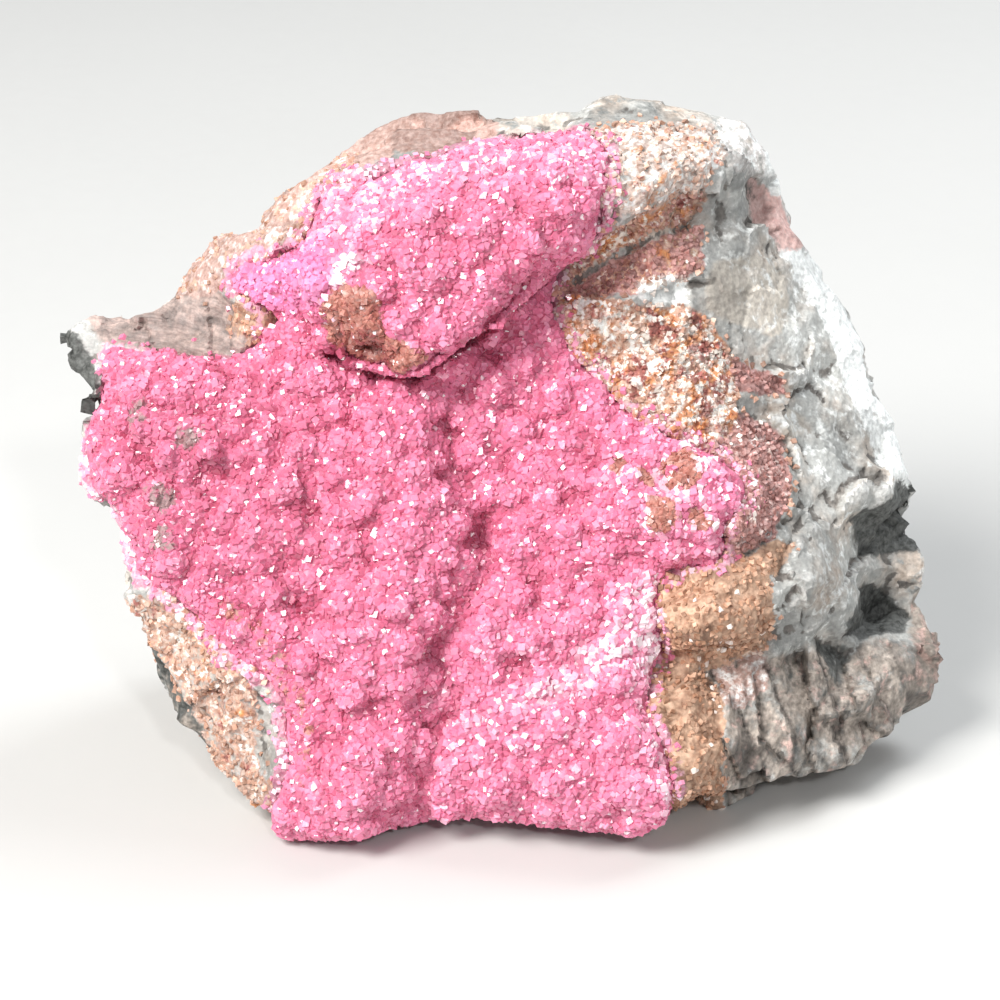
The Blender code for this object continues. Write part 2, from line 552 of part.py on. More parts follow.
def rhomb(shape, place, axis, spin, edge):
    """One dolomite rhomb, standing on a corner along axis."""
    to_corner = Vector((1.0, 1.0, 1.0)).rotation_difference(Vector((0.0, 0.0, 1.0))).to_matrix().to_4x4()
    flatten = Matrix.Diagonal((1.0, 1.0, CRYSTAL_FLATTENING, 1.0))
    turn = axis.to_track_quat("Z", "Y").to_matrix().to_4x4() @ Matrix.Rotation(spin, 4, "Z")
    whole = Matrix.Translation(place * MM) @ turn @ flatten @ to_corner
    bmesh.ops.create_cube(shape, size=edge * MM, matrix=whole)


def make_crystals(crust, collection):
    """Rhombs spaced over the crust's open side, each leaning its own way."""
    generator = np.random.default_rng(23)
    crust.data.calc_loop_triangles()
    towards_viewer = Vector((0.0, -math.cos(FACE_TILT), math.sin(FACE_TILT)))
    faces = [face for face in crust.data.polygons if face.normal.dot(towards_viewer) > 0.35]
    areas = np.array([face.area for face in faces])
    drawn = generator.choice(len(faces), size=40 * CRYSTAL_COUNT, p=areas / areas.sum())
    centres = np.array([faces[i].center for i in drawn]) / MM
    clear_of_edge = inner_distance(face_places(centres), CRUST_OUTLINE) > CRYSTAL_EDGE[1]
    shape = bmesh.new()
    kept = np.empty((0, 3))
    for i, place, clear in zip(drawn, centres, clear_of_edge):
        if len(kept) >= CRYSTAL_COUNT:
            break
        crowded = len(kept) and ((kept - place) ** 2).sum(1).min() < CRYSTAL_SPACING ** 2
        if crowded or not clear:
            continue
        kept = np.vstack([kept, place])
        tilt = Vector(generator.normal(0.0, 0.35, 3))
        axis = (faces[i].normal + tilt).normalized()
        spin, size = generator.uniform(0.0, 2.0 * math.pi), generator.uniform(*CRYSTAL_EDGE)
        rhomb(shape, Vector(place) + 0.1 * faces[i].normal, axis, spin, size)
    mesh = bpy.data.meshes.new("crystals")
    shape.to_mesh(mesh)
    shape.free()
    crystals = mesh_object("crystals", mesh, collection)
    hide_helper(crystals)
    return crystals


def without_crumbs(obj):
    """Keeps the largest body, and drops crumbs that a cut left loose."""
    shape = bmesh.new()
    shape.from_mesh(obj.data)
    waiting = set(shape.verts)
    bodies = []
    while waiting:
        body, edge = set(), {waiting.pop()}
        while edge:
            body |= edge
            edge = {link.other_vert(vertex) for vertex in edge for link in vertex.link_edges} - body
        waiting -= body
        bodies.append(body)
    largest = max(bodies, key=len)
    crumbs = [vertex for body in bodies if body is not largest for vertex in body]
    bmesh.ops.delete(shape, geom=crumbs, context="VERTS")
    shape.to_mesh(obj.data)
    shape.free()


def boolean(obj, other, operation):
    made = obj.modifiers.new(other.name, "BOOLEAN")
    made.operation = operation
    made.object = other
    made.solver = "EXACT"
    made.use_self = True


def material(name, colour, roughness):
    made = bpy.data.materials.new(name)
    made.use_nodes = True
    shader = made.node_tree.nodes["Principled BSDF"]
    shader.inputs["Base Color"].default_value = colour
    shader.inputs["Roughness"].default_value = roughness
    shader.inputs["Metallic"].default_value = 0.0
    return made


def stand_on_origin(objects):
    """Moves everything together so that the stone stands centred on the origin."""
    corners = np.vstack([coordinates(obj) for obj in objects])
    middle = 0.5 * (corners.min(0) + corners.max(0))
    for obj in objects:
        places = coordinates(obj)
        places[:, :2] -= middle[:2]
        move_to(obj, places)


def new_collection(name):
    made = bpy.data.collections.new(name)
    bpy.context.scene.collection.children.link(made)
    return made


def main():
    for old in list(bpy.data.objects):
        bpy.data.objects.remove(old)
    stone = new_collection("dolomite_specimen")
    helpers = new_collection("helpers")
    rock = make_rock(stone)
    crust = make_crust(stone)
    seat = make_seat(crust, helpers)
    crystals = make_crystals(crust, helpers)
    boolean(rock, seat, "DIFFERENCE")
    without_crumbs(applied(rock))
    boolean(crust, crystals, "UNION")
    without_crumbs(applied(crust))
    floor = -FLOOR_BELOW_FACE * math.cos(FACE_TILT)
    for obj in (rock, crust):
        obj.data.transform(Matrix.Translation((0.0, 0.0, -floor * MM)))
    cut_flat(rock, (0.0, 0.0, 0.0), (0.0, 0.0, -1.0))
    stand_on_origin([rock, crust])
    rock.data.materials.append(material("host_rock", MATRIX_COLOUR, 0.85))
    crust.data.materials.append(material("pink_dolomite", CRUST_COLOUR, 0.35))


main()
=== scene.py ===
import math

import bpy
import numpy as np
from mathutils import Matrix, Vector, kdtree, noise
from mathutils.geometry import delaunay_2d_cdt


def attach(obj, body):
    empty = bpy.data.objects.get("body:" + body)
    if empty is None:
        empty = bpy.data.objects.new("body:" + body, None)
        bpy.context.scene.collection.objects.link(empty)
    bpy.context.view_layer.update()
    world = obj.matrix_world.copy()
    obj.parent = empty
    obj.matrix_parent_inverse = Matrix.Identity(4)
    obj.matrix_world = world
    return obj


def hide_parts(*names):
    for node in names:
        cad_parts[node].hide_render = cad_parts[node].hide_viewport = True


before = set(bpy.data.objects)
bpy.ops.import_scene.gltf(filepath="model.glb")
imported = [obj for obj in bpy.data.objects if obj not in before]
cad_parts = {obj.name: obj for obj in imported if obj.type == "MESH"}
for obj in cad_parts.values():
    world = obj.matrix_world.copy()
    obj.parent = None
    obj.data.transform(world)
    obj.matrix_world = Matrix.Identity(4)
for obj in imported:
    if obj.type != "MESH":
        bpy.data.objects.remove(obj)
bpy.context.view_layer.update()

# The eye that looks at the stone
# The stone leans back, and the viewer looks down on it, square to its broken face. Places on the face are
# given as that viewer sees them, in millimetres: s to the right, t up the face, n from it towards the eye.
MM = 0.001
FACE_TILT = math.radians(27.0)
EYE_DISTANCE = 240.0
FACE_CENTRE = np.array((0.0, 25.5))
FACE_ORIGIN = np.array((-0.344, -17.314, 1.337))
SEEN_WIDTH = 75.08
TO_EYE = np.array((0.0, -math.cos(FACE_TILT), math.sin(FACE_TILT)))
RIGHT = np.array((1.0, 0.0, 0.0))


def face_point(s, t, n):
    """A place on the face as a point of the stone's own frame, in millimetres."""
    back = t * math.sin(FACE_TILT) - n * math.cos(FACE_TILT)
    up = t * math.cos(FACE_TILT) + n * math.sin(FACE_TILT)
    return FACE_ORIGIN + np.array((s, back, up))


def as_seen(points):
    """Where the viewer sees each point on the face, and how far out of the face it stands."""
    across, back, up = (points - FACE_ORIGIN).T
    t = back * math.sin(FACE_TILT) + up * math.cos(FACE_TILT)
    n = up * math.sin(FACE_TILT) - back * math.cos(FACE_TILT)
    share = EYE_DISTANCE / (EYE_DISTANCE - n)
    flat = FACE_CENTRE + (np.column_stack([across, t]) - FACE_CENTRE) * share[:, None]
    return flat, n


eye = Vector(face_point(*FACE_CENTRE, EYE_DISTANCE)) * MM
bpy.ops.object.camera_add(location=eye, rotation=(math.radians(90.0) - FACE_TILT, 0.0, 0.0))
camera = bpy.context.object
camera.data.lens = camera.data.sensor_width * EYE_DISTANCE / SEEN_WIDTH
camera.data.clip_start = 0.01
bpy.context.scene.camera = camera

# The host rock
# Grey dolostone, broken all round, that the crust grew on. Iron has stained it rust and tan beside the crust,
# and it breaks into flats, splinters and hollows on the right; the hollow and the groove carry painted shade.
# Each stained area is drawn as it is seen.
ROCK_MESH = 0.37
CHIP_SEED = 1
BROWN_TOP = [(-12.8, 51.8), (-9.0, 55.5), (-1.5, 55.5), (0.0, 53.5), (-1.5, 51.8), (-4.5, 51.2), (-7.5, 51.8),
             (-10.1, 50.7), (-12.4, 49.2)]
TAN_RIM = [(-23.3, 43.4), (-22.1, 46.8), (-17.9, 47.4), (-13.5, 50.5), (-11.6, 52.4), (-10.4, 50.5),
           (-12.4, 48.0), (-13.7, 45.9), (-15.0, 43.7), (-17.9, 42.8), (-20.1, 41.3), (-22.5, 40.5),
           (-25.2, 41.1)]
TAN_UNDER_WEDGE = [(-19.5, 41.3), (-15.0, 40.5), (-12.8, 39.0), (-15.0, 37.5), (-17.9, 36.6), (-20.6, 38.3)]
BROKEN_CAVITY = [(-13.4, 40.5), (-11.6, 41.9), (-9.2, 41.3), (-8.7, 38.3), (-5.3, 36.2), (-7.1, 35.4),
                 (-10.5, 36.0), (-12.8, 37.4)]
SADDLE = [(-31.2, 39.2), (-28.0, 41.5), (-21.4, 41.5), (-18.4, 39.2), (-18.8, 36.8), (-22.1, 35.9),
          (-26.3, 36.6), (-30.0, 37.5)]
LEFT_TIP = [(-36.0, 39.0), (-31.6, 38.0), (-30.4, 36.0), (-30.0, 34.2), (-31.1, 30.5), (-36.0, 33.2)]
TOP_STRIP = [(-1.7, 54.2), (3.0, 57.0), (10.5, 58.0), (15.0, 57.5), (19.7, 53.6), (15.0, 53.8), (7.5, 53.9),
             (3.0, 53.0), (-0.8, 53.2)]
CAP = [(6.4, 53.3), (10.5, 54.1), (16.1, 53.7), (17.1, 51.1), (15.4, 48.8), (12.0, 47.7), (7.5, 46.2),
       (5.9, 44.7), (6.8, 48.8)]
GREY_IN_CAP = [(9.9, 52.0), (11.6, 52.1), (11.7, 49.1), (10.2, 48.9)]
LIGHT_CORNER = [(16.1, 57.0), (21.0, 55.0), (21.5, 50.7), (19.9, 49.2), (17.6, 49.9), (16.2, 51.8)]
DARK_GROOVE = [(3.4, 42.8), (6.8, 45.0), (10.5, 47.1), (15.0, 49.2), (15.9, 48.0), (14.3, 46.4), (10.5, 45.0),
               (6.8, 42.9), (4.2, 40.5)]
RED_BELOW_GROOVE = [(4.5, 41.1), (8.3, 43.4), (12.0, 45.2), (15.4, 46.4), (15.2, 42.8), (12.0, 41.1),
                    (8.3, 40.8), (5.3, 39.8)]
PALE_SPOT = [(10.3, 41.7), (12.0, 42.4), (14.4, 42.2), (14.3, 40.5), (12.0, 39.9), (10.5, 40.4)]
RUST_BAND = [(3.4, 40.5), (7.5, 40.8), (11.3, 40.2), (15.0, 39.8), (17.3, 37.2), (18.0, 33.0), (17.6, 30.0),
             (14.3, 29.0), (10.5, 30.5), (7.3, 33.5), (4.0, 36.8)]
RED_STREAK = [(12.9, 37.2), (15.0, 37.4), (21.0, 34.7), (21.2, 33.2), (18.0, 33.6), (15.0, 35.1)]
RED_BROWN = [(12.0, 31.9), (16.5, 33.0), (20.6, 30.8), (21.9, 27.8), (21.8, 25.5), (20.3, 22.5), (17.4, 21.0),
             (16.6, 24.0), (17.4, 27.0), (14.0, 28.9)]
SMOOTH_FACE = [(15.9, 43.4), (19.5, 43.9), (21.6, 42.4), (21.8, 39.0), (20.6, 37.7), (17.6, 38.7),
               (15.4, 39.8)]
GREY_SLOPE = [(17.5, 48.8), (19.6, 44.5), (22.0, 43.0), (26.0, 34.0), (28.0, 30.5), (25.5, 27.0),
              (22.5, 27.0), (22.5, 31.0), (21.5, 37.0), (19.0, 38.0), (16.0, 44.0)]
GREY_KNOB = [(21.2, 20.5), (22.8, 22.6), (26.3, 23.0), (27.0, 19.5), (26.0, 16.6), (23.8, 16.9)]
BEIGE_SPOT = [(20.1, 32.1), (22.5, 32.3), (23.3, 30.9), (21.8, 30.0), (20.3, 30.3)]
PINK_EDGE = [(19.1, 49.7), (21.4, 48.0), (23.0, 44.3), (21.0, 44.3), (19.7, 46.5)]
WHITE_RIM = [(19.7, 51.8), (21.6, 52.7), (24.5, 45.3), (27.2, 41.7), (29.6, 36.0), (33.0, 27.8), (30.4, 25.9),
             (28.9, 27.8), (27.6, 30.8), (25.9, 33.8), (24.0, 39.0), (21.4, 43.4), (19.9, 46.9)]
TAN_BLOCK_HIGH = [(10.3, 19.9), (15.0, 20.6), (19.9, 20.1), (20.6, 16.5), (19.9, 14.3), (16.1, 12.9),
                  (12.0, 12.9), (10.3, 16.5)]
TAN_UNDER_KNOB = [(16.1, 21.0), (18.0, 21.0), (20.6, 22.5), (21.8, 22.1), (20.6, 19.9), (17.3, 19.7)]
TAN_BLOCK_LOW = [(9.9, 12.9), (15.0, 12.9), (16.7, 11.3), (16.7, 6.0), (16.7, -0.6), (12.0, -0.6),
                 (11.6, 6.0), (10.1, 9.0)]
PINKISH_SHELF = [(16.0, 12.9), (19.9, 15.0), (20.4, 11.3), (18.4, 9.6), (16.7, 10.1)]
SPLINTERS = [(16.7, 11.3), (20.4, 13.9), (24.0, 14.3), (26.8, 9.5), (26.0, 4.0), (20.6, 1.0), (16.7, 0.0)]
DARK_FACET = [(26.3, 24.2), (30.0, 27.5), (33.2, 26.5), (33.2, 22.0), (29.8, 21.6), (27.2, 21.3)]
# Painted shade: the hollow on the right is painted dark.
SHADED_HOLLOW = [(27.2, 19.5), (28.9, 18.6), (30.9, 16.9), (30.4, 15.6), (27.0, 15.0), (25.5, 15.4)]
BLUE_FACET = [(27.2, 21.6), (31.2, 21.4), (31.2, 17.6), (28.9, 18.8)]
BROWN_RIGHT_EDGE = [(30.4, 21.8), (34.7, 21.0), (35.0, 11.3), (31.2, 10.1), (30.4, 14.3), (30.9, 17.3)]
LOW_RIGHT = [(26.9, 15.0), (30.4, 15.0), (32.9, 10.1), (28.8, 6.3), (25.2, 6.9), (25.2, 11.3)]
DARK_LEDGE = [(23.4, 15.0), (26.3, 14.6), (27.4, 10.5), (24.8, 7.9), (23.3, 9.0)]
LEFT_BORDER = [(-30.5, 18.6), (-24.0, 18.4), (-21.4, 15.0), (-18.8, 13.1), (-17.9, 10.5), (-18.2, 6.0),
               (-15.4, 3.0), (-16.3, -2.4), (-19.5, 0.0), (-22.4, 7.9), (-25.2, 13.3), (-28.8, 16.5)]
GREY_SIDE = [(-28.4, 17.3), (-25.3, 13.5), (-22.0, 7.5), (-20.2, 3.0), (-17.6, -1.8), (-21.6, -1.8),
             (-25.6, 6.0), (-28.3, 11.3), (-30.2, 15.0)]


def only(piece):
    """Selects one piece and makes it the one being worked on."""
    bpy.ops.object.select_all(action="DESELECT")
    piece.select_set(True)
    bpy.context.view_layer.objects.active = piece


def copy_of_solid(solid, name):
    """A copy of a solid's skin with its loose corners merged."""
    piece = bpy.data.objects.new(name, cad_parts[solid].data.copy())
    bpy.context.scene.collection.objects.link(piece)
    piece.data.materials.clear()
    only(piece)
    bpy.ops.object.mode_set(mode="EDIT")
    bpy.ops.mesh.select_all(action="SELECT")
    bpy.ops.mesh.remove_doubles(threshold=0.01 * MM)
    bpy.ops.object.mode_set(mode="OBJECT")
    return piece


def make_even(piece, size, rounds):
    """Covers the piece in an even fine mesh, and rubs its corners down."""
    only(piece)
    even = piece.modifiers.new("even", "REMESH")
    even.mode = "VOXEL"
    even.voxel_size = size * MM
    bpy.ops.object.modifier_apply(modifier=even.name)
    rubbed = piece.modifiers.new("rubbed", "SMOOTH")
    rubbed.factor = 0.5
    rubbed.iterations = rounds
    bpy.ops.object.modifier_apply(modifier=rubbed.name)


def places(piece):
    """Where each corner of the piece's mesh is, in millimetres."""
    flat = np.empty(len(piece.data.vertices) * 3)
    piece.data.vertices.foreach_get("co", flat)
    return flat.reshape(-1, 3) / MM


def facing(piece):
    """Which way the piece's skin faces at each corner."""
    flat = np.empty(len(piece.data.vertices) * 3)
    piece.data.vertices.foreach_get("normal", flat)
    return flat.reshape(-1, 3)


def put(piece, points):
    """Moves each corner of the piece's mesh to its new place."""
    piece.data.vertices.foreach_set("co", (points * MM).ravel())
    piece.data.update()


def ramp(low, high, value):
    """0 up to low, 1 from high on, and a smooth rise between them."""
    x = np.clip((value - low) / (high - low), 0.0, 1.0)
    return x * x * (3.0 - 2.0 * x)


def away_from(seen, a, b):
    """How far each place on the face is from the stroke between a and b."""
    along = b - a
    share = np.clip((seen - a) @ along / (along @ along), 0.0, 1.0)
    return np.hypot(*(seen - (a + share[:, None] * along)).T)


def area(seen, outline, blur=0.6):
    """1 inside an outline drawn on the face and 0 outside it, blurred at its edge."""
    corners = np.array(outline, float)
    near = np.full(len(seen), np.inf)
    within = np.zeros(len(seen), bool)
    for a, b in zip(corners, np.roll(corners, -1, axis=0)):
        near = np.minimum(near, away_from(seen, a, b))
        spans = (a[1] > seen[:, 1]) != (b[1] > seen[:, 1])
        rise = b[1] - a[1] if b[1] != a[1] else 1e-9
        within ^= spans & (seen[:, 0] < a[0] + (seen[:, 1] - a[1]) * (b[0] - a[0]) / rise)
    return ramp(-blur, blur, np.where(within, near, -near))


def wander(points, size, seed, octaves=3):
    """Smooth random waves of about that size, from -1 to 1."""
    shift = Vector((seed * 17.3, seed * 5.7, -seed * 11.1))
    return np.array([noise.fractal(Vector(p) / size + shift, 0.8, 2.1, octaves) for p in points])


def flakes(points, size, step, slope, seed):
    """Small flats like the scars of chips: their heights, a tone for each, and the cracks between."""
    shift = Vector((seed * 3.1, -seed * 7.7, seed * 1.9))
    found = []
    for p in points:
        here = Vector(p) / size + shift
        distances, centres = noise.voronoi(here)
        tilt = noise.noise_vector(centres[0] * 9.7)
        height = step * noise.noise(centres[0] * 6.1) + slope * size * tilt.dot(here - centres[0])
        found.append((height, 0.5 + noise.noise(centres[0] * 13.7), distances[1] - distances[0]))
    heights, tones, gaps = np.array(found).T
    return heights, tones, ramp(0.16, 0.02, gaps)


def averaged(piece, values, rounds):
    """Each value averaged with its neighbours' over and over."""
    ends = np.empty(len(piece.data.edges) * 2, int)
    piece.data.edges.foreach_get("vertices", ends)
    a, b = ends.reshape(-1, 2).T
    count = len(piece.data.vertices)
    shares = np.bincount(np.concatenate([a, b]), minlength=count) + 1.0
    for _ in range(rounds):
        columns = values.reshape(count, -1)
        summed = [np.bincount(a, c[b], count) + np.bincount(b, c[a], count) + c for c in columns.T]
        values = (np.column_stack(summed) / shares[:, None]).reshape(values.shape)
    return values


def mark(piece, name, values):
    """Keeps a mask on the piece for its material and for what grows on it."""
    kept = piece.data.attributes.new(name, "FLOAT", "POINT")
    kept.data.foreach_set("value", np.clip(values, 0.0, 1.0).astype(np.float32))


# How each chip is tilted is drawn at random, and the seed makes it the same in every run.
noise.seed_set(CHIP_SEED)
rock = copy_of_solid("matrix_rock", "broken_host_rock")
make_even(rock, ROCK_MESH, 4)
points, out = places(rock), facing(rock)
seen, height = as_seen(points)
to_eye = ramp(-0.40, -0.05, averaged(rock, out, 12) @ TO_EYE) * ramp(-22.0, -17.0, height)


def stained(*outlines):
    """The strongest of several areas, each given as an outline and its strength, on what faces the viewer."""
    masks = [strength * area(seen, outline) for outline, strength in outlines]
    return np.max(masks, axis=0) * to_eye


rust = stained((RUST_BAND, 0.8), (BROKEN_CAVITY, 0.9), (RED_BELOW_GROOVE, 0.5), (CAP, 0.6),
               (DARK_GROOVE, 0.7), (LEFT_BORDER, 0.55), (TAN_UNDER_WEDGE, 0.5))
red_brown = stained((RED_BROWN, 1.0), (RED_BELOW_GROOVE, 0.9), (RED_STREAK, 0.9), (DARK_GROOVE, 0.6))
tan = stained((TAN_BLOCK_HIGH, 1.0), (TAN_BLOCK_LOW, 1.0), (TAN_UNDER_KNOB, 1.0), (TAN_UNDER_WEDGE, 0.7),
              (TAN_RIM, 0.3))
brown_pink = stained((BROWN_TOP, 1.0), (TAN_RIM, 0.95), (CAP, 0.6), (LIGHT_CORNER, 0.55), (LEFT_BORDER, 0.6),
                     (PINKISH_SHELF, 0.7), (BROWN_RIGHT_EDGE, 0.45), (LOW_RIGHT, 0.3), (SPLINTERS, 0.3),
                     (RUST_BAND, 0.45))
taupe = stained((BROWN_RIGHT_EDGE, 0.75), (LOW_RIGHT, 0.65), (SPLINTERS, 0.62), (GREY_SIDE, 0.4))
pale = stained((WHITE_RIM, 0.85), (PALE_SPOT, 0.9), (LIGHT_CORNER, 0.55), (BEIGE_SPOT, 0.5),
               (PINKISH_SHELF, 0.4), (LEFT_BORDER, 0.30), (CAP, 0.5), (RUST_BAND, 0.38), (GREY_KNOB, 0.36),
               (GREY_SLOPE, 0.30), (RED_BROWN, 0.28), (TAN_RIM, 0.3))
beige = stained((SMOOTH_FACE, 1.0), (BEIGE_SPOT, 1.0), (SADDLE, 0.5))
# Dark stone, and painted shade in the hollow on the right and along the groove.
dark_stone_and_shade = stained((LEFT_TIP, 1.0), (DARK_FACET, 1.0), (SHADED_HOLLOW, 1.0), (GREY_SIDE, 1.0), (DARK_GROOVE, 0.3),
               (DARK_LEDGE, 0.7), (GREY_IN_CAP, 0.6), (BLUE_FACET, 0.35), (SPLINTERS, 0.43),
               (LOW_RIGHT, 0.43), (TOP_STRIP, 0.36))
rosy = stained((PINK_EDGE, 0.9))
splintery = stained((SPLINTERS, 1.0), (LOW_RIGHT, 0.8), (PINKISH_SHELF, 0.6), (DARK_LEDGE, 1.0),
                    (SADDLE, 0.35))
grainy = np.maximum(rust, red_brown)
bare = stained((SADDLE, 0.8), (LEFT_TIP, 1.0), (TOP_STRIP, 1.0), (GREY_SIDE, 0.9))
smooth_break = stained((SMOOTH_FACE, 1.0), (SADDLE, 0.7), (TOP_STRIP, 0.8), (GREY_SIDE, 0.8),
                       (GREY_SLOPE, 0.7), (WHITE_RIM, 0.55), (BROWN_TOP, 0.7), (TAN_RIM, 0.6),
                       (GREY_KNOB, 0.6))

# The broken ground of the right side, as corners that flat breaks join: where each is seen, and how far it
# stands out of the solid's own face or lies below it.
KNOB_AND_HOLLOW = [(24.6, 19.6, 1.7), (22.1, 21.3, 0.5), (26.4, 22.3, 0.8), (27.0, 19.8, 1.2),
                   (26.4, 17.1, 1.3), (25.4, 15.3, 0.8), (21.5, 18.7, 0.3), (28.8, 18.0, -1.8),
                   (27.6, 16.3, -2.1), (30.6, 16.8, -0.4), (26.1, 24.3, 0.8), (28.5, 26.1, 1.0),
                   (30.9, 27.6, 0.4), (29.3, 23.6, -0.9), (28.7, 21.9, -1.2), (30.4, 19.5, 0.3),
                   (28.6, 21.0, -0.6), (31.9, 21.0, 0.0), (32.3, 16.5, 0.0), (30.0, 13.5, 0.9),
                   (31.9, 14.2, 0.5), (27.5, 14.6, 0.3), (32.3, 10.9, 0.3), (26.3, 9.7, 0.7),
                   (27.0, 8.6, -0.6), (31.9, 9.7, -0.4), (25.5, 13.9, -0.4), (24.8, 12.6, 0.7),
                   (25.4, 11.2, -0.7), (22.5, 15.5, -0.4), (20.8, 21.0, -0.4), (23.0, 24.5, 0.2),
                   (34.5, 24.0, 0.0), (35.0, 15.0, 0.0), (34.0, 8.0, 0.0), (24.0, 27.5, 0.0),
                   (28.0, 29.5, 0.0), (19.5, 17.0, -0.5), (23.0, 9.0, 0.0), (26.0, 6.0, 0.0)]
TAN_BLOCKS = [(15.8, 16.6, 0.9), (12.0, 18.0, 0.4), (19.1, 18.0, 0.5), (18.8, 15.4, 0.7), (14.3, 13.9, 0.9),
              (12.8, 12.4, -0.7), (16.1, 12.7, -1.1), (19.5, 14.0, -0.6), (14.3, 11.2, 0.3), (15.0, 6.7, 0.7),
              (16.2, 3.0, 0.2), (13.1, 3.7, 0.3), (16.7, 7.5, -0.1), (18.0, 9.0, -0.9), (17.6, 4.5, -0.9),
              (9.5, 19.0, 0.0), (9.5, 8.0, 0.0), (11.0, 0.0, 0.0), (18.5, 0.0, 0.0), (21.0, 20.5, 0.0),
              (21.5, 13.0, 0.0), (20.0, 7.0, 0.0), (15.0, 21.0, 0.0)]


def folded(seen, corners):
    """Heights of flat breaks that join the corners, 0 outside them."""
    flat = [Vector(corner[:2]) for corner in corners]
    joined = delaunay_2d_cdt(flat, [], [], 0, 1e-5)
    kept = [corners[origin[0]][2] for origin in joined[3]]
    heights = np.zeros(len(seen))
    for face in joined[2]:
        a, b, c = (np.array(joined[0][corner]) for corner in face)
        across = np.linalg.inv(np.column_stack([b - a, c - a]))
        share = (seen - a) @ across.T
        within = (share[:, 0] >= 0.0) & (share[:, 1] >= 0.0) & (share.sum(1) <= 1.0)
        ends = np.array([kept[corner] for corner in face])
        levels = ends[0] + share @ (ends[1:] - ends[0])
        heights[within] = levels[within]
    return heights


CHIP_SIZE = 5.0
SMALL_CHIP_SIZE = 1.9
BREAK_SIZE = 13.0
SPLINTER_SIZE = (1.7, 6.5, 30.0)
EDGE_BULGE = 1.6

# Splinters run down the lower right, a little to the right of straight down.
down = seen @ np.array((0.30, -0.95))
across = seen @ np.array((0.95, 0.30))
slivers, sliver_tones, sliver_cracks = flakes(np.column_stack([across, down, height]) / SPLINTER_SIZE,
                                              1.0, 2.0, 1.5, 3)
uneven = np.column_stack([wander(points, 3.5, seed, 2) for seed in (17, 19, 23)])
chips, chip_tones, chip_cracks = flakes(points + 1.3 * uneven, CHIP_SIZE, 0.55, 0.52, 2)
small_chips = flakes(points, SMALL_CHIP_SIZE, 0.14, 0.30, 4)[0]
flat_tones = chip_tones + (sliver_tones - chip_tones) * ramp(0.3, 0.6, splintery)

rough = (1.0 - 0.8 * smooth_break) * (1.0 - 0.75 * splintery) * (0.35 + 0.65 * to_eye)
breaks = flakes(points, BREAK_SIZE, 0.35, 0.14, 6)[0] + 0.6 * wander(points, 9.0, 15, 3)
relief = 0.05 * wander(points, 1.2, 1, 3) * rough
relief += chips * rough * (1.0 - 0.8 * np.maximum(tan, grainy)) + breaks * (1.0 - to_eye)
relief += small_chips * rough * (1.0 - 0.6 * np.maximum(tan, grainy))
relief += 0.26 * wander(points, 0.9, 5, 2) * np.maximum(grainy, 0.7 * tan)
outward = (folded(seen, KNOB_AND_HOLLOW) + folded(seen, TAN_BLOCKS) + 0.9 * slivers * splintery) * to_eye
# The edge beside the dark facet stands further out to the right.
sideways = ramp(26.5, 30.5, seen[:, 0]) * ramp(17.5, 20.5, seen[:, 1]) * ramp(27.5, 25.0, seen[:, 1])
points = points + relief[:, None] * out + outward[:, None] * TO_EYE + EDGE_BULGE * sideways[:, None] * RIGHT
points[:, 2] = np.maximum(points[:, 2], 0.0)
put(rock, points)

cracks = chip_cracks * 0.2 * (1.0 - splintery) * rough + sliver_cracks * splintery
points = places(rock)
edge = ((points - averaged(rock, points, 6)) * facing(rock)).sum(1)
for name, mask in (("rust", rust), ("red_brown", red_brown), ("tan", tan), ("brown_pink", brown_pink),
                   ("taupe", taupe), ("pale", pale), ("beige", beige), ("dark_stone_and_shade", dark_stone_and_shade), ("rosy", rosy),
                   ("splintery", splintery), ("saddle", stained((SADDLE, 1.0))),
                   ("grainy", np.maximum(grainy, 0.6 * tan)), ("worn_edge", ramp(0.03, 0.16, edge)),
                   # Painted shade: creases of the rock are marked to be darkened.
                   ("crevice_shade", ramp(0.02, 0.14, -edge) * (0.4 + 0.6 * to_eye)),
                   ("flat_tone", 0.5 + (flat_tones - 0.5) * (0.3 + 0.7 * to_eye)),
                   ("crack", cracks * to_eye)):
    mark(rock, name, mask)


def new_finish(name):
    """A new material, with its node tree and its shader."""
    made = bpy.data.materials.new(name)
    made.use_nodes = True
    return made, made.node_tree, made.node_tree.nodes["Principled BSDF"]


def node(tree, kind, **settings):
    """A shader or geometry node with its settings and unlinked inputs."""
    made = tree.nodes.new(kind)
    for name, value in settings.items():
        if name.startswith("in_"):
            made.inputs[name[3:].replace("_", " ")].default_value = value
        else:
            setattr(made, name, value)
    return made


def feed(tree, socket, value):
    """Links a socket to another one, or sets it to a number or a colour."""
    if isinstance(value, bpy.types.NodeSocket):
        tree.links.new(value, socket)
    else:
        socket.default_value = (*value, 1.0) if isinstance(value, tuple) else value


def masked(tree, name):
    """The mask of that name that the piece keeps."""
    return node(tree, "ShaderNodeAttribute", attribute_name=name).outputs["Fac"]


def worked_out(tree, operation, *values):
    """The result of a sum on numbers or sockets."""
    made = node(tree, "ShaderNodeMath", operation=operation)
    for socket, value in zip(made.inputs, values):
        feed(tree, socket, value)
    return made.outputs[0]


def spread(tree, value, low, high, from_low=0.0, from_high=1.0):
    """Turns a value that runs from from_low to from_high into one that runs from low to high."""
    made = node(tree, "ShaderNodeMapRange", in_From_Min=from_low, in_From_Max=from_high, in_To_Min=low,
                in_To_Max=high)
    tree.links.new(value, made.inputs["Value"])
    return made.outputs["Result"]


def speckle(tree, scale, detail, roughness):
    """Fine noise all through the stone."""
    where = tree.nodes.new("ShaderNodeTexCoord")
    made = node(tree, "ShaderNodeTexNoise", in_Detail=detail, in_Roughness=roughness)
    feed(tree, made.inputs["Scale"], scale)
    tree.links.new(where.outputs["Object"], made.inputs["Vector"])
    return made.outputs["Fac"]


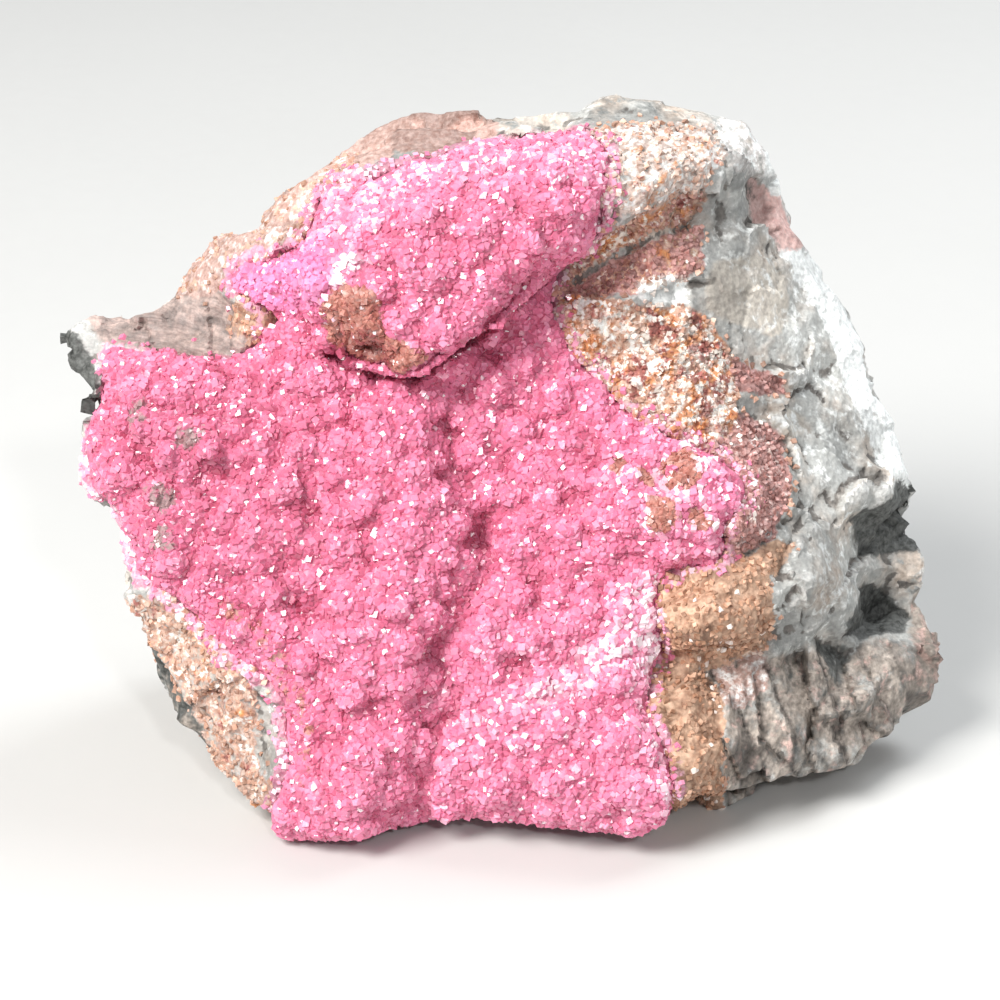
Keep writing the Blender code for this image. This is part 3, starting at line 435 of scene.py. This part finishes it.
def mixed(tree, under, over, amount, blend="MIX"):
    """One colour laid over another, or multiplied into it."""
    made = node(tree, "ShaderNodeMix", data_type="RGBA", blend_type=blend)
    feed(tree, made.inputs["Factor"], amount)
    feed(tree, made.inputs["A"], under)
    feed(tree, made.inputs["B"], over)
    return made.outputs["Result"]


def stain_group():
    """A stain that eats into what lies under it with a ragged edge, and mottles between two colours."""
    group = bpy.data.node_groups.new("stain", "ShaderNodeTree")
    for name, kind in (("Under", "Color"), ("Amount", "Float"), ("Light", "Color"), ("Dark", "Color"),
                       ("Mottle", "Float"), ("Edge", "Float"), ("Softness", "Float")):
        group.interface.new_socket(name, in_out="INPUT", socket_type="NodeSocket" + kind)
    group.interface.new_socket("Color", in_out="OUTPUT", socket_type="NodeSocketColor")
    given = group.nodes.new("NodeGroupInput").outputs
    ragged = worked_out(group, "MULTIPLY_ADD", speckle(group, given["Edge"], 3.0, 0.65), 1.5, -0.75)
    mask = node(group, "ShaderNodeMapRange", interpolation_type="SMOOTHSTEP")
    feed(group, mask.inputs["Value"], worked_out(group, "ADD", ragged, given["Amount"]))
    feed(group, mask.inputs["From Min"], worked_out(group, "SUBTRACT", 0.5, given["Softness"]))
    feed(group, mask.inputs["From Max"], worked_out(group, "ADD", 0.5, given["Softness"]))
    faint = spread(group, given["Amount"], 0.0, 1.0, 0.0, 0.12)
    mottled = spread(group, speckle(group, given["Mottle"], 2.0, 0.7), 0.0, 1.0, 0.34, 0.66)
    colours = mixed(group, given["Dark"], given["Light"], mottled)
    amount = worked_out(group, "MULTIPLY", mask.outputs["Result"], faint)
    end = group.nodes.new("NodeGroupOutput")
    feed(group, end.inputs["Color"], mixed(group, given["Under"], colours, amount))
    return group


stain = stain_group()


def layer(tree, under, amount, light, dark_tone, mottle, edge_size, softness=0.14):
    """Lays one stain over a colour, with the sizes of its mottles and of its ragged edge in millimetres."""
    made = node(tree, "ShaderNodeGroup", node_tree=stain)
    for name, value in (("Under", under), ("Amount", amount), ("Light", light), ("Dark", dark_tone),
                        ("Mottle", 1.0 / (mottle * MM)), ("Edge", 1.0 / (edge_size * MM)),
                        ("Softness", softness)):
        feed(tree, made.inputs[name], value)
    return made.outputs["Color"]


def stains(tree, under, *rows):
    """Lays stains over a colour one after another, each where the piece's mask of its name is."""
    for name, *look in rows:
        under = layer(tree, under, masked(tree, name), *look)
    return under


def mottled_rust(tree, under, amount):
    """Orange, red-brown and white blotches over the rusty ground."""
    for share, *look in ((0.58, (0.84, 0.40, 0.17), (0.48, 0.18, 0.08), 0.5, 2.2, 0.10),
                         (0.52, (0.52, 0.19, 0.16), (0.24, 0.07, 0.06), 0.5, 1.7, 0.10),
                         (0.54, (0.97, 0.90, 0.82), (0.78, 0.68, 0.60), 0.5, 1.0, 0.08)):
        under = layer(tree, under, worked_out(tree, "MULTIPLY", amount, share), *look)
    return under


def worn_finish(tree, shader, size, depth, low, high):
    """Fine unevenness of the surface, and a roughness that changes with it."""
    fine = speckle(tree, 1.0 / (size * MM), 2.0, 0.6)
    bump = node(tree, "ShaderNodeBump", in_Strength=0.5, in_Distance=depth * MM)
    tree.links.new(fine, bump.inputs["Height"])
    tree.links.new(bump.outputs["Normal"], shader.inputs["Normal"])
    tree.links.new(spread(tree, fine, low, high, 0.3, 0.7), shader.inputs["Roughness"])


def streaks(tree, turn, stretch):
    """Fine noise drawn out into streaks, for layered or splintery stone."""
    where = tree.nodes.new("ShaderNodeTexCoord")
    drawn_out = node(tree, "ShaderNodeMapping", vector_type="TEXTURE", in_Rotation=turn)
    drawn_out.inputs["Scale"].default_value = [length * MM for length in stretch]
    fine = node(tree, "ShaderNodeTexNoise", in_Scale=1.0, in_Detail=5.0, in_Roughness=0.65)
    tree.links.new(where.outputs["Object"], drawn_out.inputs["Vector"])
    tree.links.new(drawn_out.outputs["Vector"], fine.inputs["Vector"])
    return fine.outputs["Fac"]


stone, tree, shader = new_finish("broken_dolostone")
body = layer(tree, (0.42, 0.425, 0.41), 0.5, (0.66, 0.665, 0.64), (0.30, 0.305, 0.295), 1.1, 5.0, 0.3)
warm = layer(tree, body, 0.38, (0.66, 0.56, 0.48), (0.40, 0.32, 0.26), 0.9, 5.0, 0.25)
speck = layer(tree, warm, 0.34, (0.88, 0.89, 0.87), (0.64, 0.65, 0.63), 0.5, 1.2, 0.08)
worn = layer(tree, speck, worked_out(tree, "MULTIPLY", masked(tree, "worn_edge"), 0.55), (0.76, 0.76, 0.74),
             (0.56, 0.55, 0.53), 0.5, 0.8, 0.2)
# Painted shade: the rock is darkened in its creases.
deep = layer(tree, worn, worked_out(tree, "MULTIPLY", masked(tree, "crevice_shade"), 0.8), (0.24, 0.22, 0.20),
             (0.14, 0.13, 0.12), 0.5, 0.8, 0.2)
rusty = stains(tree, deep,
               # Dark stone, partly painted shade in the hollow and the groove.
               ("dark_stone_and_shade", (0.15, 0.155, 0.148), (0.035, 0.037, 0.034), 0.6, 1.2, 0.2),
               ("beige", (0.62, 0.57, 0.50), (0.45, 0.41, 0.365), 0.9, 1.8, 0.25),
               ("saddle", (0.50, 0.38, 0.34), (0.34, 0.28, 0.26), 0.8, 1.6, 0.3),
               ("taupe", (0.46, 0.40, 0.35), (0.20, 0.17, 0.145), 0.9, 1.8, 0.2),
               ("brown_pink", (0.64, 0.46, 0.41), (0.40, 0.24, 0.20), 0.5, 1.0, 0.16),
               ("tan", (0.72, 0.48, 0.34), (0.30, 0.16, 0.10), 0.9, 0.9),
               ("red_brown", (0.60, 0.35, 0.33), (0.32, 0.14, 0.12), 0.45, 1.0),
               ("rust", (0.76, 0.54, 0.42), (0.42, 0.19, 0.12), 0.45, 1.0))
colour = stains(tree, mottled_rust(tree, rusty, masked(tree, "rust")),
                ("pale", (0.96, 0.98, 0.97), (0.72, 0.74, 0.73), 0.5, 1.0, 0.2),
                ("rosy", (0.80, 0.57, 0.53), (0.62, 0.38, 0.35), 0.5, 1.0, 0.2),
                ("near_crust", (0.84, 0.50, 0.58), (0.62, 0.22, 0.33), 0.5, 0.8, 0.16))
splinter_streaks = streaks(tree, (FACE_TILT, math.radians(17.0), 0.0), (0.5, 0.9, 4.5))
saddle_streaks = streaks(tree, (0.0, math.radians(8.0), 0.0), (7.0, 0.9, 0.35))
grit = speckle(tree, 1.0 / (0.35 * MM), 3.0, 0.6)
for shade, amount in ((spread(tree, grit, 0.62, 1.30, 0.32, 0.68), 0.5),
                      (spread(tree, masked(tree, "flat_tone"), 0.52, 1.30, 0.15, 0.85), 0.7),
                      (spread(tree, masked(tree, "crack"), 1.0, 0.42), 1.0),
                      (spread(tree, splinter_streaks, 0.6, 1.3, 0.35, 0.65), masked(tree, "splintery")),
                      (spread(tree, saddle_streaks, 0.6, 1.25, 0.35, 0.65), masked(tree, "saddle"))):
    colour = mixed(tree, colour, shade, amount, "MULTIPLY")
tree.links.new(colour, shader.inputs["Base Color"])
where = tree.nodes.new("ShaderNodeTexCoord")
grain = node(tree, "ShaderNodeTexVoronoi", in_Scale=1.0 / (0.55 * MM))
tree.links.new(where.outputs["Object"], grain.inputs["Vector"])
pitted = worked_out(tree, "ADD", speckle(tree, 1.0 / (0.45 * MM), 5.0, 0.7), grain.outputs["Distance"])
bump = node(tree, "ShaderNodeBump", in_Strength=0.5, in_Distance=0.25 * MM)
tree.links.new(pitted, bump.inputs["Height"])
tree.links.new(bump.outputs["Normal"], shader.inputs["Normal"])
tree.links.new(spread(tree, grit, 0.5, 0.8), shader.inputs["Roughness"])
rock.data.materials.append(stone)
only(rock)
bpy.ops.object.shade_smooth_by_angle(angle=math.radians(24.0))
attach(rock, "root")
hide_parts("matrix_rock")

# The crust's ground
# Pink dolomite grown together into a lumpy skin. It is the deep rose ground that shows between the rhombs,
# swollen into lumps of one to three millimetres.
CRUST_MESH = 0.36
LUMP_SIZE = 2.1
SMALL_LUMP_SIZE = 1.0
FOOT_TRENCH = 1.1
DRAWN_IN = 0.8
PALE_PLATE = [(-6.5, 14.0), (3.0, 18.0), (10.0, 20.0), (12.5, 13.0), (13.2, 3.0), (10.0, 0.0), (-2.0, 1.5),
              (-6.5, 2.0)]
WHITE_SPRINKLE = [(-3.5, 9.5), (0.5, 10.5), (4.0, 12.8), (7.5, 15.6), (11.5, 18.5), (13.2, 17.5),
                  (11.5, 13.5), (7.5, 11.2), (3.0, 9.6), (-2.0, 8.2)]
LOBE_CREST = [(-16.0, 44.0), (-12.5, 50.0), (-6.0, 51.5), (4.0, 53.0), (8.5, 53.0), (7.5, 49.0), (2.0, 50.0),
              (-5.0, 48.5), (-11.0, 45.0)]
CRUST_FRINGE = [(10.1, 20.2), (15.5, 20.4), (14.8, 18.0), (12.4, 17.4), (12.6, 11.4), (13.6, 5.0),
                (13.3, 0.2), (11.9, 3.0), (10.9, 8.0), (9.4, 11.4), (10.2, 15.0), (8.5, 18.4)]
KNOB = [(7.0, 28.5), (11.0, 29.8), (15.0, 29.5), (19.0, 27.0), (18.8, 24.0), (17.0, 21.5), (14.0, 21.0),
        (11.0, 22.5), (9.0, 25.0)]
DEEP_ROSE = [(-31.0, 34.0), (-22.0, 35.0), (-14.0, 33.0), (-12.0, 26.0), (-14.0, 18.0), (-20.0, 16.0),
             (-28.0, 22.0)]
MAGENTA_WEDGE = [(-21.0, 42.0), (-16.0, 44.0), (-13.0, 45.5), (-12.5, 40.5), (-16.0, 39.5)]
LEFT_EDGE_STAIN = [(-22.5, 17.5), (-18.0, 13.5), (-15.5, 8.0), (-16.0, 3.0), (-13.8, 5.0), (-14.0, 10.0),
                   (-16.5, 15.5), (-20.0, 19.0)]
EDGE_BROWN = [(-12.8, 51.8), (-9.0, 55.5), (-1.5, 55.5), (0.0, 52.5), (-4.5, 50.6), (-9.5, 49.5),
              (-13.5, 47.5)]
BROWN_CORES = [((12.1, 24.4), 1.35), ((13.6, 27.5), 1.5), ((15.1, 23.9), 0.9), ((8.8, 27.9), 0.8),
               ((11.0, 27.4), 0.6)]
LOBE_FOOT = [(-12.6, 36.4), (-9.5, 35.2), (-6.4, 35.1), (-4.0, 36.5), (-1.6, 38.2), (0.8, 40.2), (3.0, 42.4)]
BROKEN_RELIEF = [(-11.4, 40.2, 0.9), (-12.6, 38.4, 0.7), (-10.4, 38.6, 0.3), (-9.6, 37.2, -1.8),
                 (-11.2, 36.9, -1.5), (-7.6, 36.3, -0.8), (-14.2, 40.0, 0.0), (-13.6, 36.2, 0.0),
                 (-11.6, 42.4, 0.0), (-8.4, 41.0, 0.0), (-8.0, 38.0, 0.4), (-5.0, 36.6, 0.0),
                 (-9.0, 35.2, 0.0)]
# Painted shade: dark spots in the broken cavity.
CAVITY_SHADE = [((-9.8, 37.3), 0.9), ((-11.6, 36.7), 0.8), ((-8.4, 36.2), 0.7)]
GREY_SPOTS = [((-23.3, 30.1), 1.4), ((-25.2, 22.5), 1.3), ((-25.5, 25.5), 1.2), ((-27.6, 32.0), 1.2)]
WHITE_PATCH = [((-11.2, 43.4), 1.1), ((-12.2, 41.9), 0.9)]

ground = copy_of_solid("pink_dolomite_crust", "crust_ground")
make_even(ground, CRUST_MESH, 14)
points, out = places(ground), facing(ground)
seen = as_seen(points)[0]
open_side = ramp(0.0, 0.35, out @ TO_EYE)
lumps = np.array([1.0 - min(1.0, noise.voronoi(Vector(p) / LUMP_SIZE)[0][0]) for p in points])
small_lumps = np.array([1.0 - min(1.0, noise.voronoi(Vector(p) / SMALL_LUMP_SIZE)[0][0]) for p in points])
relief = 0.34 - 0.12 * open_side
relief += (0.8 * (lumps - 0.55) + 0.4 * (small_lumps - 0.55) + 0.45 * wander(points, 3.4, 4)) * open_side
foot = np.array(LOBE_FOOT)
from_foot = np.min([away_from(seen, a, b) for a, b in zip(foot[:-1], foot[1:])], axis=0)
under_lobe = ramp(1.1, 0.2, from_foot) * open_side
outward = folded(seen, BROKEN_RELIEF) * open_side - FOOT_TRENCH * under_lobe
# The left edge is drawn in a little behind the solid's.
sideways = ramp(-27.0, -31.0, seen[:, 0]) * ramp(14.0, 18.0, seen[:, 1]) * ramp(36.0, 33.0, seen[:, 1])
points = points + relief[:, None] * out + outward[:, None] * TO_EYE + DRAWN_IN * sideways[:, None] * RIGHT
points[:, 2] = np.maximum(points[:, 2], 0.4)
put(ground, points)
# Painted shade: small dips, broad valleys and the band under the lobe mark where the rhombs are darkened.
dip = ((averaged(ground, points, 8) - points) * facing(ground)).sum(1)
valley = ((averaged(ground, points, 90) - points) * facing(ground)).sum(1)
# Painted highlight: the tops of the lumps are marked, where the rhombs are made paler.
crest_highlight = ramp(0.0, 0.20, -dip)
shade_and_deep_rose = 0.5 * ramp(-0.06, 0.22, dip) + 0.7 * ramp(-0.1, 1.3, valley) + 0.5 * under_lobe


def distances(points, others):
    """How far each point is from the nearest of the others."""
    near = kdtree.KDTree(len(others))
    for number, other in enumerate(others):
        near.insert(other, number)
    near.balance()
    return np.array([near.find(point)[2] for point in points])


def spots(seen, places_and_sizes):
    """Spots on the face, each as its centre and radius."""
    found = np.zeros(len(seen))
    for centre, radius in places_and_sizes:
        found = np.maximum(found, np.exp(-(((seen - np.array(centre)) ** 2).sum(1)) / (radius * radius)))
    return found


# The rock beside the crust's edge comes up against it, and carries a fringe of it.
rock_points = places(rock)
apart = distances(rock_points, points)
put(rock, rock_points + (0.25 * ramp(1.6, 0.5, apart))[:, None] * facing(rock))
fringe = ramp(1.7, 0.2, apart + 0.7 * wander(rock_points, 1.2, 8, 2)) * to_eye * (1.0 - bare)
mark(rock, "near_crust", 0.9 * fringe)
mark(rock, "whiter", 0.9 * fringe)
mark(ground, "overgrown", np.maximum(open_side, ramp(0.9, 1.3, distances(points, rock_points))))

ragged = seen + 0.6 * np.column_stack([wander(points, 1.4, seed, 3) for seed in (12, 14)])
cores = spots(ragged, BROWN_CORES)
rims = ramp(0.12, 0.30, cores) * ramp(0.62, 0.40, cores)
brown = np.max([area(seen, BROKEN_CAVITY, 0.5), 0.55 * area(seen, EDGE_BROWN, 0.8),
                0.45 * area(seen, LEFT_EDGE_STAIN, 1.2), 0.9 * ramp(0.30, 0.55, cores)], axis=0)
whiter = np.max([0.32 * area(seen, PALE_PLATE, 2.0), 1.2 * area(seen, WHITE_SPRINKLE, 1.4),
                 0.66 * area(seen, LOBE_CREST, 1.5), 0.95 * area(seen, CRUST_FRINGE, 0.7),
                 0.40 * area(seen, KNOB, 1.0), rims], axis=0)
whiter *= 0.75 + 0.35 * wander(points, 1.6, 9, 2)
whiter = np.maximum(whiter, 1.3 * spots(ragged, WHITE_PATCH))
# Painted highlight: the rhombs on the lumps' tops are made paler.
mark(ground, "crest_highlight", crest_highlight * open_side)
# Painted shade in the hollows, under the lobe and in the cavity, plus the deeper colour of the deep rose
# area.
mark(ground, "shade_and_deep_rose", shade_and_deep_rose + 0.28 * area(seen, DEEP_ROSE, 3.0) + 1.2 * spots(ragged, CAVITY_SHADE))
mark(ground, "brown", brown * open_side)
mark(ground, "whiter", whiter * open_side)
mark(ground, "magenta", area(seen, MAGENTA_WEDGE, 0.8) * open_side)
mark(ground, "grey_spot", 0.75 * spots(ragged, GREY_SPOTS) * open_side)

under, tree, shader = new_finish("deep_rose_dolomite")
rose = layer(tree, (0.60, 0.17, 0.28), 0.5, (0.74, 0.24, 0.37), (0.48, 0.11, 0.20), 1.2, 3.0)
colour = stains(tree, rose, ("brown", (0.60, 0.34, 0.30), (0.32, 0.14, 0.12), 0.6, 1.2),
                ("grey_spot", (0.42, 0.30, 0.30), (0.22, 0.16, 0.16), 0.8, 1.0))
tree.links.new(colour, shader.inputs["Base Color"])
worn_finish(tree, shader, 0.5, 0.25, 0.3, 0.5)
ground.data.materials.append(under)
ground.data.shade_smooth()
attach(ground, "root")
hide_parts("pink_dolomite_crust")

# The rhombs
# Small dolomite rhombs that cover the whole crust, each half sunk in its neighbours and turned its own way.
# They are clear rose to milky white, and their flat faces flash; the sparse white glints among them are
# painted highlights.
RHOMB_EDGE = 1.0
RHOMB_HEIGHT = 0.86
FLAT_HEIGHT = 0.72
TIP_KEPT = 0.62
RHOMB_GAP = 0.33
RHOMB_SIZES = (0.26, 0.58)
GLINT_GAP = 1.2
GLINT_SIZES = (0.14, 0.34)
SPILLED_GAP = 0.44
SPILLED_SIZES = (0.20, 0.46)


def rhomb(name, height, clip):
    """A cube stood on its corner and squashed, its tip cut level if clip is under 1."""
    bpy.ops.object.select_all(action="DESELECT")
    bpy.ops.mesh.primitive_cube_add(size=RHOMB_EDGE * MM)
    made = bpy.context.object
    made.name = name
    stand = Vector((1.0, 1.0, 1.0)).rotation_difference(Vector((0.0, 0.0, 1.0)))
    made.rotation_mode = "QUATERNION"
    made.rotation_quaternion = stand
    bpy.ops.object.transform_apply(location=False, rotation=True, scale=False)
    made.scale = (1.0, 1.0, height)
    bpy.ops.object.transform_apply(location=False, rotation=False, scale=True)
    if clip < 1.0:
        bpy.ops.object.mode_set(mode="EDIT")
        bpy.ops.mesh.select_all(action="SELECT")
        top = 0.5 * math.sqrt(3.0) * RHOMB_EDGE * MM * height * clip
        bpy.ops.mesh.bisect(plane_co=(0.0, 0.0, top), plane_no=(0.0, 0.0, 1.0), use_fill=True,
                            clear_outer=True)
        bpy.ops.object.mode_set(mode="OBJECT")
    return made


def grow(name, on, where_mask, gap, sizes, lean, sunk, shapes, seed):
    """Sets crystals close together over a piece where a mask allows, each leant and turned its own way."""
    group = bpy.data.node_groups.new(name, "GeometryNodeTree")
    group.interface.new_socket("Geometry", in_out="INPUT", socket_type="NodeSocketGeometry")
    group.interface.new_socket("Geometry", in_out="OUTPUT", socket_type="NodeSocketGeometry")
    link = group.links.new
    start = group.nodes.new("NodeGroupInput")
    end = group.nodes.new("NodeGroupOutput")
    allowed = node(group, "GeometryNodeInputNamedAttribute", data_type="FLOAT", in_Name=where_mask)
    scattered = node(group, "GeometryNodeDistributePointsOnFaces", distribute_method="POISSON", in_Seed=seed,
                     in_Distance_Min=gap * MM, in_Density_Max=3.0 / (gap * MM) ** 2)
    shapes_kept = bpy.data.collections.new(name + "_shapes")
    for shape in shapes:
        shapes_kept.objects.link(shape)
    chosen = node(group, "GeometryNodeCollectionInfo", in_Collection=shapes_kept, in_Separate_Children=True,
                  in_Reset_Children=True)
    aimed = node(group, "FunctionNodeAlignRotationToVector", axis="Z")
    turned = node(group, "FunctionNodeRandomValue", data_type="FLOAT_VECTOR", in_Min=(-lean, -lean, 0.0),
                  in_Max=(lean, lean, 2.0 * math.pi), in_Seed=seed + 1)
    as_turn = node(group, "FunctionNodeEulerToRotation")
    both = node(group, "FunctionNodeRotateRotation", rotation_space="LOCAL")
    size = node(group, "FunctionNodeRandomValue", data_type="FLOAT")
    size.inputs[2].default_value = sizes[0]
    size.inputs[3].default_value = sizes[1]
    size.inputs["Seed"].default_value = seed + 2
    placed = node(group, "GeometryNodeInstanceOnPoints", in_Pick_Instance=True)
    tone = node(group, "FunctionNodeRandomValue", data_type="FLOAT", in_Seed=seed + 3)
    toned = node(group, "GeometryNodeStoreNamedAttribute", data_type="FLOAT", domain="INSTANCE",
                 in_Name="tone")
    sunk_in = node(group, "GeometryNodeTranslateInstances", in_Translation=(0.0, 0.0, -sunk * MM))
    real = group.nodes.new("GeometryNodeRealizeInstances")
    link(start.outputs[0], scattered.inputs["Mesh"])
    link(allowed.outputs["Attribute"], scattered.inputs["Density Factor"])
    link(scattered.outputs["Points"], placed.inputs["Points"])
    link(chosen.outputs[0], placed.inputs["Instance"])
    link(scattered.outputs["Normal"], aimed.inputs["Vector"])
    link(aimed.outputs["Rotation"], both.inputs["Rotation"])
    link(turned.outputs["Value"], as_turn.inputs["Euler"])
    link(as_turn.outputs["Rotation"], both.inputs["Rotate By"])
    link(both.outputs["Rotation"], placed.inputs["Rotation"])
    link(size.outputs[1], placed.inputs["Scale"])
    link(placed.outputs["Instances"], sunk_in.inputs["Instances"])
    link(sunk_in.outputs["Instances"], toned.inputs["Geometry"])
    link(tone.outputs[1], toned.inputs["Value"])
    link(toned.outputs["Geometry"], real.inputs["Geometry"])
    link(real.outputs["Geometry"], end.inputs[0])
    grown = bpy.data.objects.new(name, on.data.copy())
    bpy.context.scene.collection.objects.link(grown)
    only(grown)
    growth = grown.modifiers.new("grown", "NODES")
    growth.node_group = group
    bpy.ops.object.modifier_apply(modifier=growth.name)
    bpy.data.node_groups.remove(group)
    bpy.data.collections.remove(shapes_kept)
    return grown


sharp_rhomb = rhomb("sharp_rhomb", RHOMB_HEIGHT, 1.0)
flat_rhomb = rhomb("flat_rhomb", FLAT_HEIGHT, 1.0)
clipped_rhomb = rhomb("clipped_rhomb", RHOMB_HEIGHT, TIP_KEPT)
crystals = grow("pink_rhombs", ground, "overgrown", RHOMB_GAP, RHOMB_SIZES, 0.6, 0.12,
                (sharp_rhomb, flat_rhomb, clipped_rhomb), 7)
# Painted highlights: the white glints are small near-white crystals that stand in for flashes of light on
# faces.
glints = grow("white_glints", ground, "overgrown", GLINT_GAP, GLINT_SIZES, 0.9, -0.10,
              (sharp_rhomb, clipped_rhomb), 31)
spilled = grow("rhombs_on_the_rock", rock, "near_crust", SPILLED_GAP, SPILLED_SIZES, 0.7, 0.05,
               (sharp_rhomb, flat_rhomb), 41)

glassy, tree, shader = new_finish("pink_dolomite_rhombs")
milky = worked_out(tree, "ADD", worked_out(tree, "MULTIPLY", masked(tree, "tone"), 0.56),
                   worked_out(tree, "MULTIPLY", masked(tree, "whiter"), 0.66))
# Painted highlight: rhombs on the lumps' tops are made paler.
milky = worked_out(tree, "ADD", milky, worked_out(tree, "MULTIPLY", masked(tree, "crest_highlight"), 0.12))
rose_to_white = tree.nodes.new("ShaderNodeValToRGB")
stops = rose_to_white.color_ramp
stops.elements[0].color = (0.68, 0.17, 0.28, 1.0)
stops.elements[1].color = (0.98, 0.82, 0.88, 1.0)
for position, tint in ((0.4, (0.80, 0.23, 0.38, 1.0)), (0.68, (0.88, 0.33, 0.49, 1.0)),
                       (0.80, (0.93, 0.50, 0.63, 1.0))):
    stops.elements.new(position).color = tint
tree.links.new(milky, rose_to_white.inputs["Fac"])
violet = mixed(tree, rose_to_white.outputs["Color"], (0.86, 0.32, 0.60),
               worked_out(tree, "MULTIPLY", masked(tree, "magenta"), 0.6))
stained_rhombs = stains(tree, violet, ("brown", (0.62, 0.29, 0.24), (0.34, 0.12, 0.09), 0.5, 0.9),
                        ("grey_spot", (0.52, 0.36, 0.36), (0.28, 0.20, 0.20), 0.7, 0.9))
# Painted shade: rhombs in the hollows, valleys, under the lobe and in the cavity are darkened.
colour = mixed(tree, stained_rhombs, (0.56, 0.37, 0.41), masked(tree, "shade_and_deep_rose"), "MULTIPLY")
tree.links.new(colour, shader.inputs["Base Color"])
worn_finish(tree, shader, 0.3, 0.03, 0.14, 0.32)
shader.inputs["IOR"].default_value = 1.62
shader.inputs["Subsurface Weight"].default_value = 0.1
shader.inputs["Subsurface Radius"].default_value = (1.0, 0.30, 0.38)
shader.inputs["Subsurface Scale"].default_value = 0.8 * MM
# Painted highlight: the glints' material is near white.
bright, tree, shader = new_finish("white_glints")
whites = tree.nodes.new("ShaderNodeValToRGB")
whites.color_ramp.elements[0].color = (0.84, 0.52, 0.64, 1.0)
whites.color_ramp.elements[1].color = (1.0, 0.97, 0.98, 1.0)
whites.color_ramp.elements[1].position = 0.7
tree.links.new(masked(tree, "tone"), whites.inputs["Fac"])
tree.links.new(whites.outputs["Color"], shader.inputs["Base Color"])
worn_finish(tree, shader, 0.3, 0.02, 0.08, 0.22)
shader.inputs["IOR"].default_value = 1.62
for piece, finish in ((crystals, glassy), (spilled, glassy), (glints, bright)):
    piece.data.materials.clear()
    piece.data.materials.append(finish)
    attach(piece, "root")

# The rusty grains
# Tiny broken grains of iron-stained dolomite that roughen the orange and red-brown bands beside the crust.
# They are smaller and duller than the pink rhombs.
GRAIN_GAP = 0.34
GRAIN_SIZES = (0.20, 0.46)
grains = grow("rusty_grains", rock, "grainy", GRAIN_GAP, GRAIN_SIZES, 1.2, 0.06,
              (flat_rhomb, clipped_rhomb), 21)
gritty, tree, shader = new_finish("rusty_grains")
brown_grains = layer(tree, (0.60, 0.34, 0.24), 0.5, (0.80, 0.58, 0.47), (0.42, 0.19, 0.12), 0.6, 1.4, 0.3)
stained_grains = stains(tree, brown_grains, ("tan", (0.74, 0.47, 0.33), (0.38, 0.19, 0.11), 1.3, 1.0, 0.2),
                        ("red_brown", (0.62, 0.36, 0.34), (0.34, 0.15, 0.13), 0.45, 1.0, 0.2),
                        ("pale", (0.92, 0.86, 0.80), (0.66, 0.56, 0.50), 0.5, 0.9, 0.2))
toned = mixed(tree, mottled_rust(tree, stained_grains, masked(tree, "rust")),
              spread(tree, masked(tree, "tone"), 0.62, 1.20), 1.0, "MULTIPLY")
white_ones = worked_out(tree, "GREATER_THAN", masked(tree, "tone"), 0.94)
tree.links.new(mixed(tree, toned, (0.90, 0.80, 0.74), white_ones), shader.inputs["Base Color"])
worn_finish(tree, shader, 0.3, 0.05, 0.38, 0.6)
grains.data.materials.clear()
grains.data.materials.append(gritty)
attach(grains, "root")
for shape in (sharp_rhomb, flat_rhomb, clipped_rhomb):
    bpy.data.objects.remove(shape)

# The table and the light
# A plain pale floor under plain soft light, which comes mostly from above and from the left.
FLOOR_SIZE = 6.0
STONE_MIDDLE = Vector((0.0, 0.0, 0.025))
bpy.ops.object.select_all(action="DESELECT")
bpy.ops.mesh.primitive_plane_add(size=FLOOR_SIZE)
floor = bpy.context.object
floor.name = "pale_floor"
paint, tree, shader = new_finish("pale_floor")
clouded = layer(tree, (0.60, 0.60, 0.59), 0.5, (0.61, 0.61, 0.60), (0.59, 0.59, 0.58), 60.0, 90.0, 0.5)
tree.links.new(clouded, shader.inputs["Base Color"])
worn_finish(tree, shader, 2.0, 0.02, 0.65, 0.75)
floor.data.materials.append(paint)


def softbox(name, place, size, power, colour):
    """A square light that looks at the stone's middle."""
    bpy.ops.object.light_add(type="AREA", location=place)
    lamp = bpy.context.object
    lamp.name = name
    lamp.data.size = size
    lamp.data.energy = power
    lamp.data.color = colour
    aim = STONE_MIDDLE - Vector(place)
    lamp.rotation_euler = aim.to_track_quat("-Z", "Y").to_euler()


softbox("high_left", (-0.24, -0.20, 0.36), 0.20, 3.0, (1.0, 0.98, 0.95))
softbox("high_back", (0.20, 0.16, 0.34), 0.22, 1.08, (0.95, 0.98, 1.0))
softbox("spark", (0.10, -0.42, 0.34), 0.04, 0.7, (1.0, 1.0, 1.0))
world = bpy.data.worlds.new("pale_room")
bpy.context.scene.world = world
world.use_nodes = True
sky = world.node_tree.nodes["Background"]
sky.inputs["Color"].default_value = (0.95, 0.97, 1.0, 1.0)
sky.inputs["Strength"].default_value = 0.30
bpy.context.scene.view_settings.view_transform = "Standard"
